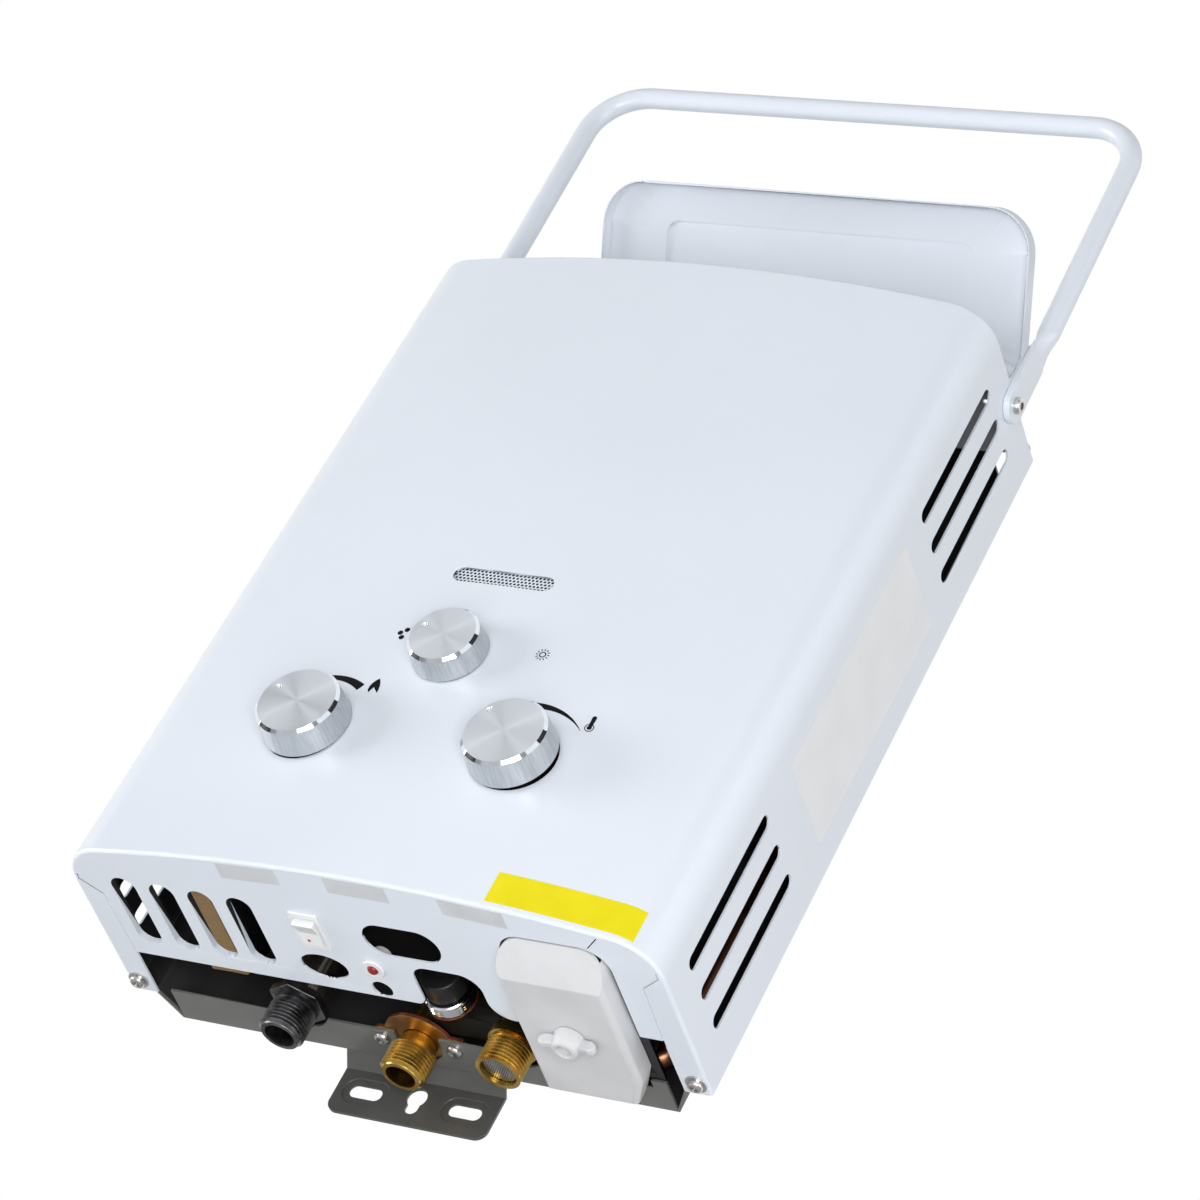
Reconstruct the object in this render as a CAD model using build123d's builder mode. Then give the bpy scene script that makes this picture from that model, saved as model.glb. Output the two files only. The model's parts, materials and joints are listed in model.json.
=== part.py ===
from build123d import *
import os
from math import atan2, cos, degrees, radians, sin, sqrt

# Portable propane water heater for a wall or a stand.
# Millimetres. Origin on the wall plane, midway between the slots of the lower wall bracket.
# X to the right seen from the front, Y into the wall, Z up. The front faces -Y.

# --- Overall -------------------------------------------------------------------------------
standoff = 25.5          # wall to the cover's rear edge
slot_drop = 15.0         # bracket slots up to the cover's bottom panel
body_w = 290.0           # width over the side panels
body_h = 378.0           # height over the top and bottom panels
side_depth = 74.0        # flat depth of a side panel
corner_r = 23.0          # vertical front corners
crown_r = 760.0          # crown of the front panel
sheet = 1.0              # cover steel
bend_r = 1.6             # pressed edges of the cover
fit = 0.08               # radial play of a running fit
seat = 0.15              # play of seated pieces

# --- Cover cut-outs ------------------------------------------------------------------------
vent_len = 82.5
vent_w = 7.4
vent_pitch = 18.7
vent_depth = 43.0        # middle vent forward of the rear edge
vent_low = 58.7          # centre of the lower group above the bottom
vent_high = 316.5        # centre of the upper group above the bottom
gas_slot_len = 43.5
gas_slot_w = 12.6
gas_slot_pitch = 19.8
gas_slot_x = -89.5       # middle of the four slots
gas_slot_depth = 58.3
rear_gap_side = 13.0     # side strips beside the opening behind the bottom panel
rear_gap_d = 28.0
rear_gap_extra = 5.0     # the panel stops earlier beside the battery lid
top_gap_d = 3.4          # the top panel stops short of the back plate's flange
tool_hole_x = -28.7      # oval adjusting hole
tool_hole_y = 42.3
tool_hole_w = 23.5
tool_hole_d = 15.5
sight_hole_x = 18.8      # obround hole below the valve
sight_hole_y = 68.0
sight_hole_w = 37.5
sight_hole_d = 20.0
small_hole_x = -3.0
small_hole_y = 33.3
small_hole_r = 5.0
notch_x0 = 17.0          # notch for the drain plug
notch_x1 = 50.0
notch_depth = 53.5
window_x = -2.8
window_z = 172.3
window_w = 50.0
window_h = 8.5
outlet_w = 160.0         # exhaust mouth of the hood
outlet_d = 55.0
outlet_depth = 46.5      # its centre forward of the rear edge
outlet_gap = 2.0         # play of the mouth in the top panel
air_hole_in = 15.0       # small holes of the top panel
air_hole_depth = 35.0
air_hole_r = 2.0
lip_h = 2.0              # turned-in lip of the slots
lip_t = 0.8
seam_w = 0.5             # seam between the bottom panel and its side strips
seam_deep = 0.4

# --- Back plate ----------------------------------------------------------------------------
pan_t = 1.2
pan_depth = 16.0
pan_side_in = 20.0       # rear sheet ends this far inside the side panels
pan_wall_in = 12.0       # front end of the slanted walls, inside the side panels
pan_flange = 17.8        # top and bottom flanges, forward from the rear sheet's inner face
ear_play = 0.3
tab_len = 15.0
screw_in = 5.5           # cover screws inside the side panels
screw_depth = 7.0
screw_r = 2.0
screw_head_r = 3.6
screw_washer_r = 5.0

# --- Wall brackets -------------------------------------------------------------------------
bracket_t = 1.5
bracket_w = 80.0
bracket_root_w = 88.0
bracket_joggle = 8.0
bracket_drop = 12.5      # tongue beyond the slot centres
bracket_root_h = 45.0    # welded part on the back plate
slot_pitch = 50.0
slot_len = 16.0
slot_w = 6.5
key_r = 4.7
key_neck_r = 3.1
key_rise = 2.3
key_fall = 3.3
dish_w = 3.4             # shallow dish round each slot
dish_deep = 0.5

# --- Handle --------------------------------------------------------------------------------
handle_d = 10.5
handle_wall = 1.2
handle_rise = 183.1      # pivot to the centre of the grip
handle_lean = 2.2        # degrees forward of upright
handle_bend = 27.0
handle_side = 2.2        # leg centre outside the side panel
pivot_depth = 40.9
pivot_below_top = 6.75
blade_w = 16.5
blade_t = 3.0
blade_len = 30.0
blade_blend = 15.0
blade_play = 0.3
pivot_r = 2.0
pivot_head_r = 4.0
pivot_head_h = 2.6

# --- Rain cap ------------------------------------------------------------------------------
cap_w = 230.0
cap_len = 88.0
cap_tilt = 41.7          # degrees, rising to the front
cap_depth = 15.7         # centre forward of the cover's rear edge
cap_height = 86.0        # centre above the cover's top
cap_corner = 22.0
cap_rim = 8.0
cap_sheet = 1.0
cap_band = 18.7          # flat band round the pressed middle
cap_press = 1.5
cap_band_side = 32.0
cap_bracket_w = 120.0
cap_bracket_t = 1.5
cap_bracket_foot = 28.0  # part inside the back plate
cap_screw_x = 45.0
cap_foot_screw_x = 52.0

# --- Knobs ---------------------------------------------------------------------------------
control_x = -3.2         # middle of the panel's controls
knob_pitch = 102.2       # fire to water knob
knob_z = 78.0
season_z = 126.5
season_shift = -3.2      # the season valve sits a little left of the middle
knob_base_r = 20.0
knob_face_r = 19.0
knob_h = 14.0
season_base_r = 17.25
season_face_r = 16.3
season_h = 12.0
knob_skin = 2.4
knob_chamfer = 1.3
knob_gap = 0.6           # least gap between a knob and the crowned panel
stem_r = 3.0
stem_flat = 2.2
stem_hold = 11.0         # stem inside its knob
stem_play = 0.05

# --- Controls on the bottom panel ----------------------------------------------------------
rocker_x = -26.7
rocker_depth = 66.8
rocker_w = 14.4
rocker_len = 22.5
rocker_flange = 1.2
rocker_tilt = 8.0
rocker_body_h = 15.0
lamp_x = -2.0
lamp_depth = 47.7
lamp_ring_r = 5.3
lamp_barrel_r = 4.0
lamp_lens_r = 2.5

# --- Fittings ------------------------------------------------------------------------------
thread_r = 10.48         # G 1/2
fitting_bore_r = 7.0
gas_x = -55.0
fitting_depth = 10.0     # gas and cold water axes forward of the cover's rear edge
gas_drop = 17.4          # end below the bottom panel
hex_flats = 24.0
hex_h = 4.0
inlet_x = 53.0
inlet_drop = 15.0
outlet_x = 2.5
outlet_back = 1.9        # hot water axis behind the cover's rear edge
outlet_drop = 18.5
outlet_neck_r = 9.3      # smooth neck between the thread and the flange
outlet_neck_h = 3.4
outlet_screw_pitch = 36.3
oval_r = 17.0
oval_ear_r = 5.5
oval_t = 2.0
notch_play = 0.7
drain_x = 20.5
drain_z = 12.0
drain_r = 10.5
drain_cap_r = 9.5
drain_face = 18.0        # rear face of the drain body forward of the rear edge

# --- Inner works ---------------------------------------------------------------------------
leg_r = 11.0             # upright water and gas passages
barrel_r = 14.0
gas_barrel_r = 16.0
barrel_bulge = 21.0      # valve barrels beyond the side panels' depth
nose_len = 6.0
nose_r = 7.0
rod_depth = 40.0
rod_z = 58.0
rod_r = 2.0
rod_len = 37.0
rod_right = 12.0         # right end of the rod
rod_travel = 2.5
collar_r = 4.5
collar_t = 2.0
collar_x = -8.7
boss_r = 12.0
boss_end = -20.0         # gas valve boss that guides the rod
neck_r = 9.0
neck_end = 4.0           # water valve neck that guides the rod
disc_r = 33.0
disc_x0 = 14.0
disc_half = 9.0
diaphragm_t = 1.5
chamber_w = 176.0
chamber_bulge = 8.0      # burner, chamber, fins and hood beyond the side panels' depth
chamber_rear = 4.0
frame_z0 = 100.0
frame_z1 = 165.0
frame_t = 1.2
shell_t = 1.0
shell_z1 = 303.0
fin_h = 38.0
fin_count = 24
fin_t = 1.0
tube_r = 6.0
tube_pitch = 20.0
tube_front = 60.0
hood_z1 = 370.0
hood_over = 3.0          # mouth above the top panel
blade_count = 8
blade_pitch = 20.5
burner_w = 9.0
burner_neck = 4.0
burner_tube_r = 6.5
burner_tube_z = 122.0
manifold_z0 = 112.0
manifold_h = 20.0
manifold_d = 10.0
manifold_in = 4.0        # manifold inside the chamber's sides
nozzle_r = 3.0
nozzle_reach = 4.6
riser_r = 6.5
pipe_r = 5.0
pipe_bend = 12.0
pipe_back = 6.5          # risers behind the cover's rear edge
cold_out = 27.0          # cold riser beside the exchanger
cold_z = 16.0
hot_out = 24.0           # hot riser beside the exchanger
hot_z = 75.0
hot_z_top = 210.0        # the hot riser leans back between these heights
hot_z_low = 170.0
hot_leg_top = 47.0       # and forward again above the outlet
hot_leg_low = 32.0
hot_end = 16.0
wrap_z = 240.0
union_z = 224.0
feed_play = 4.0          # straight run beside the finned block

# --- Battery compartment -------------------------------------------------------------------
lid_w = 49.8
lid_side = 25.2          # lid inside the right side panel
lid_front = 86.0
lid_rear = -1.0          # rear face of the skirt, forward of the cover's rear edge
lid_tail = 3.5           # the lid's foot runs under the back plate's flange
lid_bevel_w = 6.8        # cut rear corner beside the flange
lid_bevel_d = 16.5
lid_notch_d = 4.6        # the flange steps back behind the lid
lid_drop = 10.0
lid_slope = 16.0         # sloped front of the lid
lid_up = 0.85
lid_wall = 1.8
lid_play = 1.2
wing_depth = 38.0
wing_span = 28.0
wing_h = 7.6
wing_r = 6.0
cell_r = 16.6
cell_h = 61.0
cell_pitch = 40.6
cell_bottom = -3.0
box_wall = 1.2
box_play = 0.3
box_flange = 1.5
box_lip = 3.0            # flange beyond the cut-out
box_rear = 4.0           # flange ends this far before the cover's rear edge
boss_wall = 1.35

# --- Microswitch, ignition and safety ------------------------------------------------------
switch_x0 = -16.0
switch_len = 18.0
switch_w = 14.0
switch_h = 13.0
switch_z1 = 47.0
pin_r = 0.8
lever_t = 0.8
ignition_side = 39.0     # centre of the box inside the left side panel
ignition_depth = 24.0
ignition_w = 20.0
ignition_d = 56.0
ignition_h = 38.0
board_z = 20.0
board_t = 1.6
electrode_x = 32.0
electrode_pitch = 12.0
electrode_r = 2.5
electrode_rise = 6.0     # above the burner frame
thermostat_r = 8.0
thermostat_drop = 20.0

# --- Derived -------------------------------------------------------------------------------
rear = -standoff
floor_z = slot_drop
top_z = floor_z + body_h
half_w = body_w / 2
pan_back_w = body_w - 2 * pan_side_in
pan_front_w = body_w - 2 * pan_wall_in
rear_gap_w = body_w - 2 * rear_gap_side
screw_x = half_w - screw_in
chamber_front = side_depth + chamber_bulge
barrel_front = side_depth + barrel_bulge
manifold_w = chamber_w - 2 * manifold_in
cold_x = chamber_w / 2 + cold_out
hot_x = -chamber_w / 2 - hot_out
lid_x1 = half_w - lid_side
lid_x0 = lid_x1 - lid_w
ignition_x = ignition_side - half_w
corner_y = rear - side_depth
crown_y = corner_y + sqrt((crown_r - corner_r) ** 2 - (half_w - corner_r) ** 2)
pan_in = rear + pan_depth - pan_t
mid_z = floor_z + body_h / 2
fitting_y = rear - fitting_depth
outlet_y = rear + outlet_back


def up(height):
    """Height above the outer face of the bottom panel."""
    return floor_z + height


def panel_y(x):
    """Outer face of the crowned front panel at x."""
    return crown_y - sqrt(crown_r ** 2 - x ** 2)


def cover_plan(inset):
    """Plan of the cover, inset from its outer faces and open along the rear edge."""
    side = half_w - inset
    r = corner_r - inset
    big = crown_r - inset
    centre = (half_w - corner_r, corner_y)
    ux = centre[0] / (crown_r - corner_r)
    uy = (corner_y - crown_y) / (crown_r - corner_r)
    turn = (atan2(uy, ux) + 0) / 2
    with BuildSketch() as plan:
        with BuildLine():
            Line((side, rear), (side, corner_y))
            ThreePointArc(
                (side, corner_y),
                (centre[0] + r * cos(turn), corner_y + r * sin(turn)),
                (big * ux, crown_y + big * uy),
            )
            ThreePointArc((big * ux, crown_y + big * uy), (0, crown_y - big), (-big * ux, crown_y + big * uy))
            ThreePointArc(
                (-big * ux, crown_y + big * uy),
                (-centre[0] - r * cos(turn), corner_y + r * sin(turn)),
                (-side, corner_y),
            )
            Line((-side, corner_y), (-side, rear))
            Line((-side, rear), (side, rear))
        make_face()
    return plan.sketch


def facing_front(x, y, z):
    """Plane at a point of the front, drawn as seen from the front."""
    return Plane(origin=(x, y, z), x_dir=(1, 0, 0), z_dir=(0, -1, 0))


os.makedirs("parts", exist_ok=True)

# --- Front cover ---------------------------------------------------------------------------
fire_x = control_x - knob_pitch / 2
water_x = control_x + knob_pitch / 2
season_x = control_x + season_shift
knob_hole_r = knob_base_r - 0.5
season_hole_r = season_base_r - 0.5
cut_x0 = lid_x0 - lid_play
cut_x1 = lid_x1 + lid_play
cut_front = lid_front + lid_play
lamp_hole_r = lamp_barrel_r + seat
rocker_cut_w = rocker_w - 1.8
rocker_cut_len = rocker_len - 2.5

with BuildPart() as front_cover:
    with BuildSketch(Plane.XY.offset(floor_z)):
        add(cover_plan(0))
    extrude(amount=body_h)
    rims = front_cover.faces().sort_by(Axis.Z)[0].edges().sort_by(Axis.Y)[:-1]
    rims += front_cover.faces().sort_by(Axis.Z)[-1].edges().sort_by(Axis.Y)[:-1]
    fillet(rims, radius=bend_r)
    with BuildSketch(Plane.XY.offset(floor_z + sheet)):
        add(cover_plan(sheet))
    extrude(amount=body_h - 2 * sheet, mode=Mode.SUBTRACT)
    # bottom panel
    with BuildSketch(Plane.XY.offset(floor_z - sheet)):
        with Locations((0, rear - rear_gap_d / 2 + 1)):
            Rectangle(rear_gap_w, rear_gap_d + 2)
        with Locations((gas_slot_x, rear - gas_slot_depth)):
            with GridLocations(gas_slot_pitch, 1, 4, 1):
                SlotOverall(gas_slot_len, gas_slot_w, rotation=90)
        with Locations((tool_hole_x, rear - tool_hole_y)):
            Ellipse(tool_hole_w / 2, tool_hole_d / 2)
        with Locations((sight_hole_x, rear - sight_hole_y)):
            SlotOverall(sight_hole_w, sight_hole_d)
        with Locations((small_hole_x, rear - small_hole_y)):
            Circle(small_hole_r)
        with Locations((lamp_x, rear - lamp_depth)):
            Circle(lamp_hole_r)
        with Locations((rocker_x, rear - rocker_depth)):
            Rectangle(rocker_cut_w, rocker_cut_len)
        with Locations((screw_x, rear - screw_depth), (-screw_x, rear - screw_depth)):
            Circle(screw_r + seat)
    extrude(amount=3 * sheet, mode=Mode.SUBTRACT)
    with BuildSketch(Plane.XY.offset(floor_z - sheet)) as drain_notch:
        with BuildLine():
            edge = rear - rear_gap_d
            deep = rear - notch_depth
            Line((notch_x0 - 4, edge + 1), (notch_x0 - 4, edge))
            RadiusArc((notch_x0 - 4, edge), (notch_x0, edge - 4), 4)
            Line((notch_x0, edge - 4), (notch_x0, deep + 8))
            RadiusArc((notch_x0, deep + 8), (notch_x0 + 8, deep), -8)
            Line((notch_x0 + 8, deep), (notch_x1 - 10, deep))
            RadiusArc((notch_x1 - 10, deep), (notch_x1, deep + 10), -10)
            Line((notch_x1, deep + 10), (notch_x1, edge - 10))
            RadiusArc((notch_x1, edge - 10), (notch_x1 + 10, edge), 10)
            Line((notch_x1 + 10, edge), (notch_x1 + 10, edge + 1))
            Line((notch_x1 + 10, edge + 1), (notch_x0 - 4, edge + 1))
        make_face()
    extrude(amount=3 * sheet, mode=Mode.SUBTRACT)
    with BuildSketch(Plane.XY.offset(floor_z - sheet)):
        with Locations(((cut_x0 + cut_x1) / 2, rear - cut_front / 2)):
            RectangleRounded(cut_x1 - cut_x0, cut_front, 13)
        with Locations(((cut_x0 + cut_x1) / 2, rear - rear_gap_d)):
            Rectangle(cut_x1 - cut_x0, 2 * rear_gap_d)
        with Locations((rear_gap_w / 4 + cut_x1 / 2, rear - rear_gap_d)):
            Rectangle(rear_gap_w / 2 - cut_x1, 2 * rear_gap_extra)
    extrude(amount=3 * sheet, mode=Mode.SUBTRACT)
    # turned-in lips of the four slots
    with BuildSketch(Plane.XY.offset(floor_z + sheet)):
        with Locations((gas_slot_x, rear - gas_slot_depth)):
            with GridLocations(gas_slot_pitch, 1, 4, 1):
                SlotOverall(gas_slot_len + 2 * lip_t, gas_slot_w + 2 * lip_t, rotation=90)
                SlotOverall(gas_slot_len, gas_slot_w, rotation=90, mode=Mode.SUBTRACT)
    extrude(amount=lip_h)
    # seams between the bottom panel and its side strips
    for side in (-1, 1):
        with BuildSketch(Plane.XY.offset(floor_z)):
            with BuildLine():
                Polyline(
                    (side * rear_gap_w / 2, rear - rear_gap_d - 1),
                    (side * (rear_gap_w / 2 + 1), corner_y + 7),
                    (side * (half_w - 2.5), corner_y - 1),
                    (side * (half_w - 3.1), corner_y - 4.4),
                )
            trace(line_width=seam_w)
        extrude(amount=seam_deep, mode=Mode.SUBTRACT)
    # relief slit beside the battery lid
    with BuildSketch(Plane.XY.offset(floor_z)):
        with BuildLine():
            Line((half_w - 25, rear - 95), (half_w - 32, rear - cut_front + 0.5))
        trace(line_width=seam_w)
    extrude(amount=sheet, mode=Mode.SUBTRACT)
    # top panel
    with BuildSketch(Plane.XY.offset(top_z - 2 * sheet)):
        with Locations((0, rear - outlet_depth)):
            RectangleRounded(outlet_w + 2 * outlet_gap, outlet_d + 2 * outlet_gap, 8 + outlet_gap)
        with Locations((screw_x, rear - screw_depth), (-screw_x, rear - screw_depth)):
            Circle(screw_r + seat)
        with GridLocations(2 * (half_w - air_hole_in), 1, 2, 1, align=Align.CENTER):
            with Locations((0, rear - air_hole_depth)):
                Circle(air_hole_r)
        with Locations((0, rear)):
            Rectangle(rear_gap_w, 2 * top_gap_d)
    extrude(amount=4 * sheet, mode=Mode.SUBTRACT)
    # side vents and pivot holes
    with BuildSketch(Plane.YZ):
        for height in (vent_low, vent_high):
            with Locations((rear - vent_depth, up(height))):
                with GridLocations(vent_pitch, 1, 3, 1):
                    SlotOverall(vent_len, vent_w, rotation=90)
        with Locations((rear - pivot_depth, top_z - pivot_below_top)):
            Circle(pivot_r + seat)
    extrude(amount=half_w + 1, both=True, mode=Mode.SUBTRACT)
    # front panel
    with BuildSketch(facing_front(0, corner_y, 0)):
        with Locations((window_x, up(window_z))):
            SlotOverall(window_w, window_h)
        with Locations((fire_x, up(knob_z)), (water_x, up(knob_z))):
            Circle(knob_hole_r)
        with Locations((season_x, up(season_z))):
            Circle(season_hole_r)
    extrude(amount=2 * corner_r + side_depth, mode=Mode.SUBTRACT)
front_cover.part.label = "front_cover"

# --- Back plate ----------------------------------------------------------------------------
slant = sqrt(((pan_front_w - pan_back_w) / 2) ** 2 + pan_depth ** 2)
slant_x = (pan_front_w - pan_back_w) / 2 / slant
pan_shift = pan_t * (1 - slant_x) / (pan_depth / slant)
ear_x = half_w - sheet - ear_play
wall_x = pan_front_w / 2
back_x = pan_back_w / 2
tab_z = sheet + seat

with BuildPart() as back_plate:
    with BuildSketch(Plane.XY.offset(floor_z)):
        with BuildLine():
            Polyline(
                (-ear_x, rear),
                (-wall_x, rear),
                (-back_x, rear + pan_depth),
                (back_x, rear + pan_depth),
                (wall_x, rear),
                (ear_x, rear),
                (ear_x, rear - pan_t),
                (wall_x - pan_shift, rear - pan_t),
                (back_x - pan_shift, pan_in),
                (-back_x + pan_shift, pan_in),
                (-wall_x + pan_shift, rear - pan_t),
                (-ear_x, rear - pan_t),
                close=True,
            )
        make_face()
    extrude(amount=body_h)
    # the ears stop short of the cover's end panels
    with BuildSketch(Plane.XY.offset(floor_z)):
        with Locations((0, rear - pan_t)):
            Rectangle(body_w, 2 * pan_t)
    extrude(amount=tab_z, mode=Mode.SUBTRACT)
    with BuildSketch(Plane.XY.offset(top_z - tab_z)):
        with Locations((0, rear - pan_t)):
            Rectangle(body_w, 2 * pan_t)
    extrude(amount=tab_z, mode=Mode.SUBTRACT)
    # screw tabs behind the cover's end panels
    for low in (floor_z + tab_z, top_z - tab_z - pan_t):
        with BuildSketch(Plane.XY.offset(low)):
            with Locations((0, rear - tab_len / 2)):
                with GridLocations(wall_x + ear_x, 1, 2, 1):
                    Rectangle(ear_x - wall_x, tab_len)
            with Locations((screw_x, rear - screw_depth), (-screw_x, rear - screw_depth)):
                Circle(screw_r + fit, mode=Mode.SUBTRACT)
        extrude(amount=pan_t)
    # end flanges
    for low in (floor_z, top_z - pan_t):
        with BuildSketch(Plane.XY.offset(low)):
            with Locations((0, pan_in + pan_t / 2 - pan_flange / 2)):
                Rectangle(2 * (back_x - pan_shift), pan_flange + pan_t)
        extrude(amount=pan_t)
    # openings of the bottom flange for the three fittings
    with BuildSketch(Plane.XY.offset(floor_z)):
        with Locations((outlet_x, outlet_y)):
            Circle(thread_r + notch_play)
        with Locations((outlet_x, outlet_y - 10)):
            Rectangle(2 * (thread_r + notch_play), 20)
        with Locations((gas_x, fitting_y), (inlet_x, fitting_y)):
            Circle(hex_flats / 2 + 2.5)
        with Locations((outlet_x - outlet_screw_pitch / 2, outlet_y), (outlet_x + outlet_screw_pitch / 2, outlet_y)):
            Circle(screw_r + seat)
    extrude(amount=pan_t, mode=Mode.SUBTRACT)
    with BuildSketch(Plane.XY.offset(floor_z)):
        with Locations(((cut_x0 + lid_x1 - 3) / 2, rear - 3)):
            Rectangle(lid_x1 - 3 - cut_x0, 2 * lid_notch_d)
    extrude(amount=pan_t, mode=Mode.SUBTRACT)
    # slot of the top flange for the cap bracket, and its screw holes
    with BuildSketch(Plane.XY.offset(top_z - pan_t)):
        with Locations((0, pan_in - cap_bracket_t / 2)):
            Rectangle(cap_bracket_w + 2 * seat, cap_bracket_t + 2 * seat)
    extrude(amount=pan_t, mode=Mode.SUBTRACT)
    with BuildSketch(Plane.XZ.offset(-pan_in - pan_t)):
        with Locations((0, top_z - cap_bracket_foot / 2)):
            with GridLocations(2 * cap_foot_screw_x, 1, 2, 1):
                Circle(screw_r + fit)
    extrude(amount=2 * pan_t, mode=Mode.SUBTRACT)
back_plate.part.label = "back_plate"

# --- Wall brackets -------------------------------------------------------------------------
root_y = rear + pan_depth
bend_z0 = floor_z - 3.8
bend_z1 = floor_z + 1.8

with BuildPart() as lower_wall_bracket:
    with BuildSketch(Plane.YZ):
        with BuildLine():
            Polyline(
                (-bracket_t, -bracket_drop),
                (0, -bracket_drop),
                (0, bend_z0),
                (-bracket_joggle, bend_z1),
                (-bracket_joggle, floor_z + bracket_root_h),
                (root_y, floor_z + bracket_root_h),
                (root_y, bend_z1 - 0.6),
                (-bracket_t, bend_z0 - 0.6),
                close=True,
            )
        make_face()
    extrude(amount=bracket_root_w / 2, both=True)
    with BuildSketch(Plane.XZ.offset(-1)):
        with Locations((bracket_w / 2 + 5, bend_z1 - 30), (-bracket_w / 2 - 5, bend_z1 - 30)):
            Rectangle(10, 60)
    extrude(amount=standoff, mode=Mode.SUBTRACT)
    ends = lower_wall_bracket.edges().filter_by(Axis.Y).group_by(Axis.Z)[0]
    fillet(ends, radius=5.5)
    with BuildSketch(Plane.XZ.offset(-1)):
        with GridLocations(slot_pitch, 1, 2, 1):
            SlotOverall(slot_len, slot_w)
        with Locations((0, key_rise)):
            Circle(key_r)
        with Locations((0, -key_fall)):
            Circle(key_neck_r)
        with Locations((0, (key_rise - key_fall) / 2)):
            Rectangle(2 * key_neck_r, key_rise + key_fall)
    extrude(amount=bracket_t + 2, mode=Mode.SUBTRACT)
    # shallow dish round each slot
    with BuildSketch(Plane.XZ.offset(bracket_t - dish_deep)):
        with GridLocations(slot_pitch, 1, 2, 1):
            SlotOverall(slot_len + 2 * dish_w, slot_w + 2 * dish_w)
    extrude(amount=dish_deep, mode=Mode.SUBTRACT)
lower_wall_bracket.part.label = "lower_wall_bracket"

with BuildPart() as upper_wall_bracket:
    mirror(lower_wall_bracket.part, about=Plane.XY.offset(mid_z))
upper_wall_bracket.part.label = "upper_wall_bracket"

# --- Handle --------------------------------------------------------------------------------
lean = radians(handle_lean)
pivot_y = rear - pivot_depth
pivot_z = top_z - pivot_below_top
leg_x = half_w + handle_side
blade_x = half_w + blade_play + blade_t / 2
leg_up = Vector(0, -sin(lean), cos(lean))
handle_plane = Plane(origin=(0, pivot_y, pivot_z), x_dir=(1, 0, 0), z_dir=(0, -cos(lean), -sin(lean)))
tube_start = blade_len + blade_blend

with BuildPart() as handle:
    with BuildLine(handle_plane) as grip:
        FilletPolyline(
            (-leg_x, tube_start),
            (-leg_x, handle_rise),
            (leg_x, handle_rise),
            (leg_x, tube_start),
            radius=handle_bend,
        )
    with BuildSketch(Plane(origin=grip.line @ 0, x_dir=(1, 0, 0), z_dir=grip.line % 0)):
        Circle(handle_d / 2)
        Circle(handle_d / 2 - handle_wall, mode=Mode.SUBTRACT)
    sweep(path=grip.line)
    for side in (-1, 1):
        low = Vector(side * blade_x, pivot_y, pivot_z) + leg_up * blade_len
        high = Vector(side * leg_x, pivot_y, pivot_z) + leg_up * tube_start
        with BuildSketch(Plane(origin=low, x_dir=(1, 0, 0), z_dir=leg_up)):
            RectangleRounded(blade_t, blade_w, 1.2)
        with BuildSketch(Plane(origin=high, x_dir=(1, 0, 0), z_dir=leg_up)):
            Circle(handle_d / 2)
        loft()
        flat = Plane(origin=(side * blade_x, pivot_y, pivot_z), x_dir=(0, cos(lean), sin(lean)), z_dir=(1, 0, 0))
        with BuildSketch(flat):
            Circle(blade_w / 2)
            with Locations((0, blade_len / 2)):
                Rectangle(blade_w, blade_len)
            Circle(pivot_r + fit, mode=Mode.SUBTRACT)
        extrude(amount=blade_t / 2, both=True)
handle.part.label = "handle"

with BuildPart() as handle_screws:
    for side in (-1, 1):
        outward = Plane(origin=(side * (half_w - sheet - 3), pivot_y, pivot_z), z_dir=(side, 0, 0))
        reach = sheet + 3 + blade_play + blade_t + seat
        with BuildSketch(outward):
            Circle(pivot_r)
        extrude(amount=reach)
        with BuildSketch(outward.offset(reach)):
            Circle(pivot_head_r)
        extrude(amount=pivot_head_h)
    fillet(handle_screws.faces().sort_by(Axis.X)[0].edges(), radius=1.2)
    fillet(handle_screws.faces().sort_by(Axis.X)[-1].edges(), radius=1.2)
handle_screws.part.label = "handle_screws"

with BuildPart() as handle_nuts:
    for side in (-1, 1):
        inward = Plane(origin=(side * (half_w - sheet), pivot_y, pivot_z), z_dir=(-side, 0, 0))
        with BuildSketch(inward):
            Circle(4.5)
            Circle(pivot_r + fit, mode=Mode.SUBTRACT)
        extrude(amount=1)
        with BuildSketch(inward.offset(1)):
            Circle(3.4)
            Circle(pivot_r + fit, mode=Mode.SUBTRACT)
        extrude(amount=4)
handle_nuts.part.label = "handle_nuts"

# --- Rain cap and its bracket --------------------------------------------------------------
tilt = radians(cap_tilt)
cap_y = rear - cap_depth
cap_z = top_z + cap_height
cap_under = Plane(origin=(0, cap_y, cap_z), x_dir=(1, 0, 0), z_dir=(0, -sin(tilt), -cos(tilt)))
press_w = cap_w - 2 * cap_band_side
press_len = cap_len - 2 * cap_band
strap_y = pan_in - cap_bracket_t


def under_cap(along, below):
    """Point of the side view, along the cap's slope from its centre and below its sheet."""
    return (
        cap_y - cos(tilt) * along - sin(tilt) * below,
        cap_z + sin(tilt) * along - cos(tilt) * below,
    )


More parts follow.
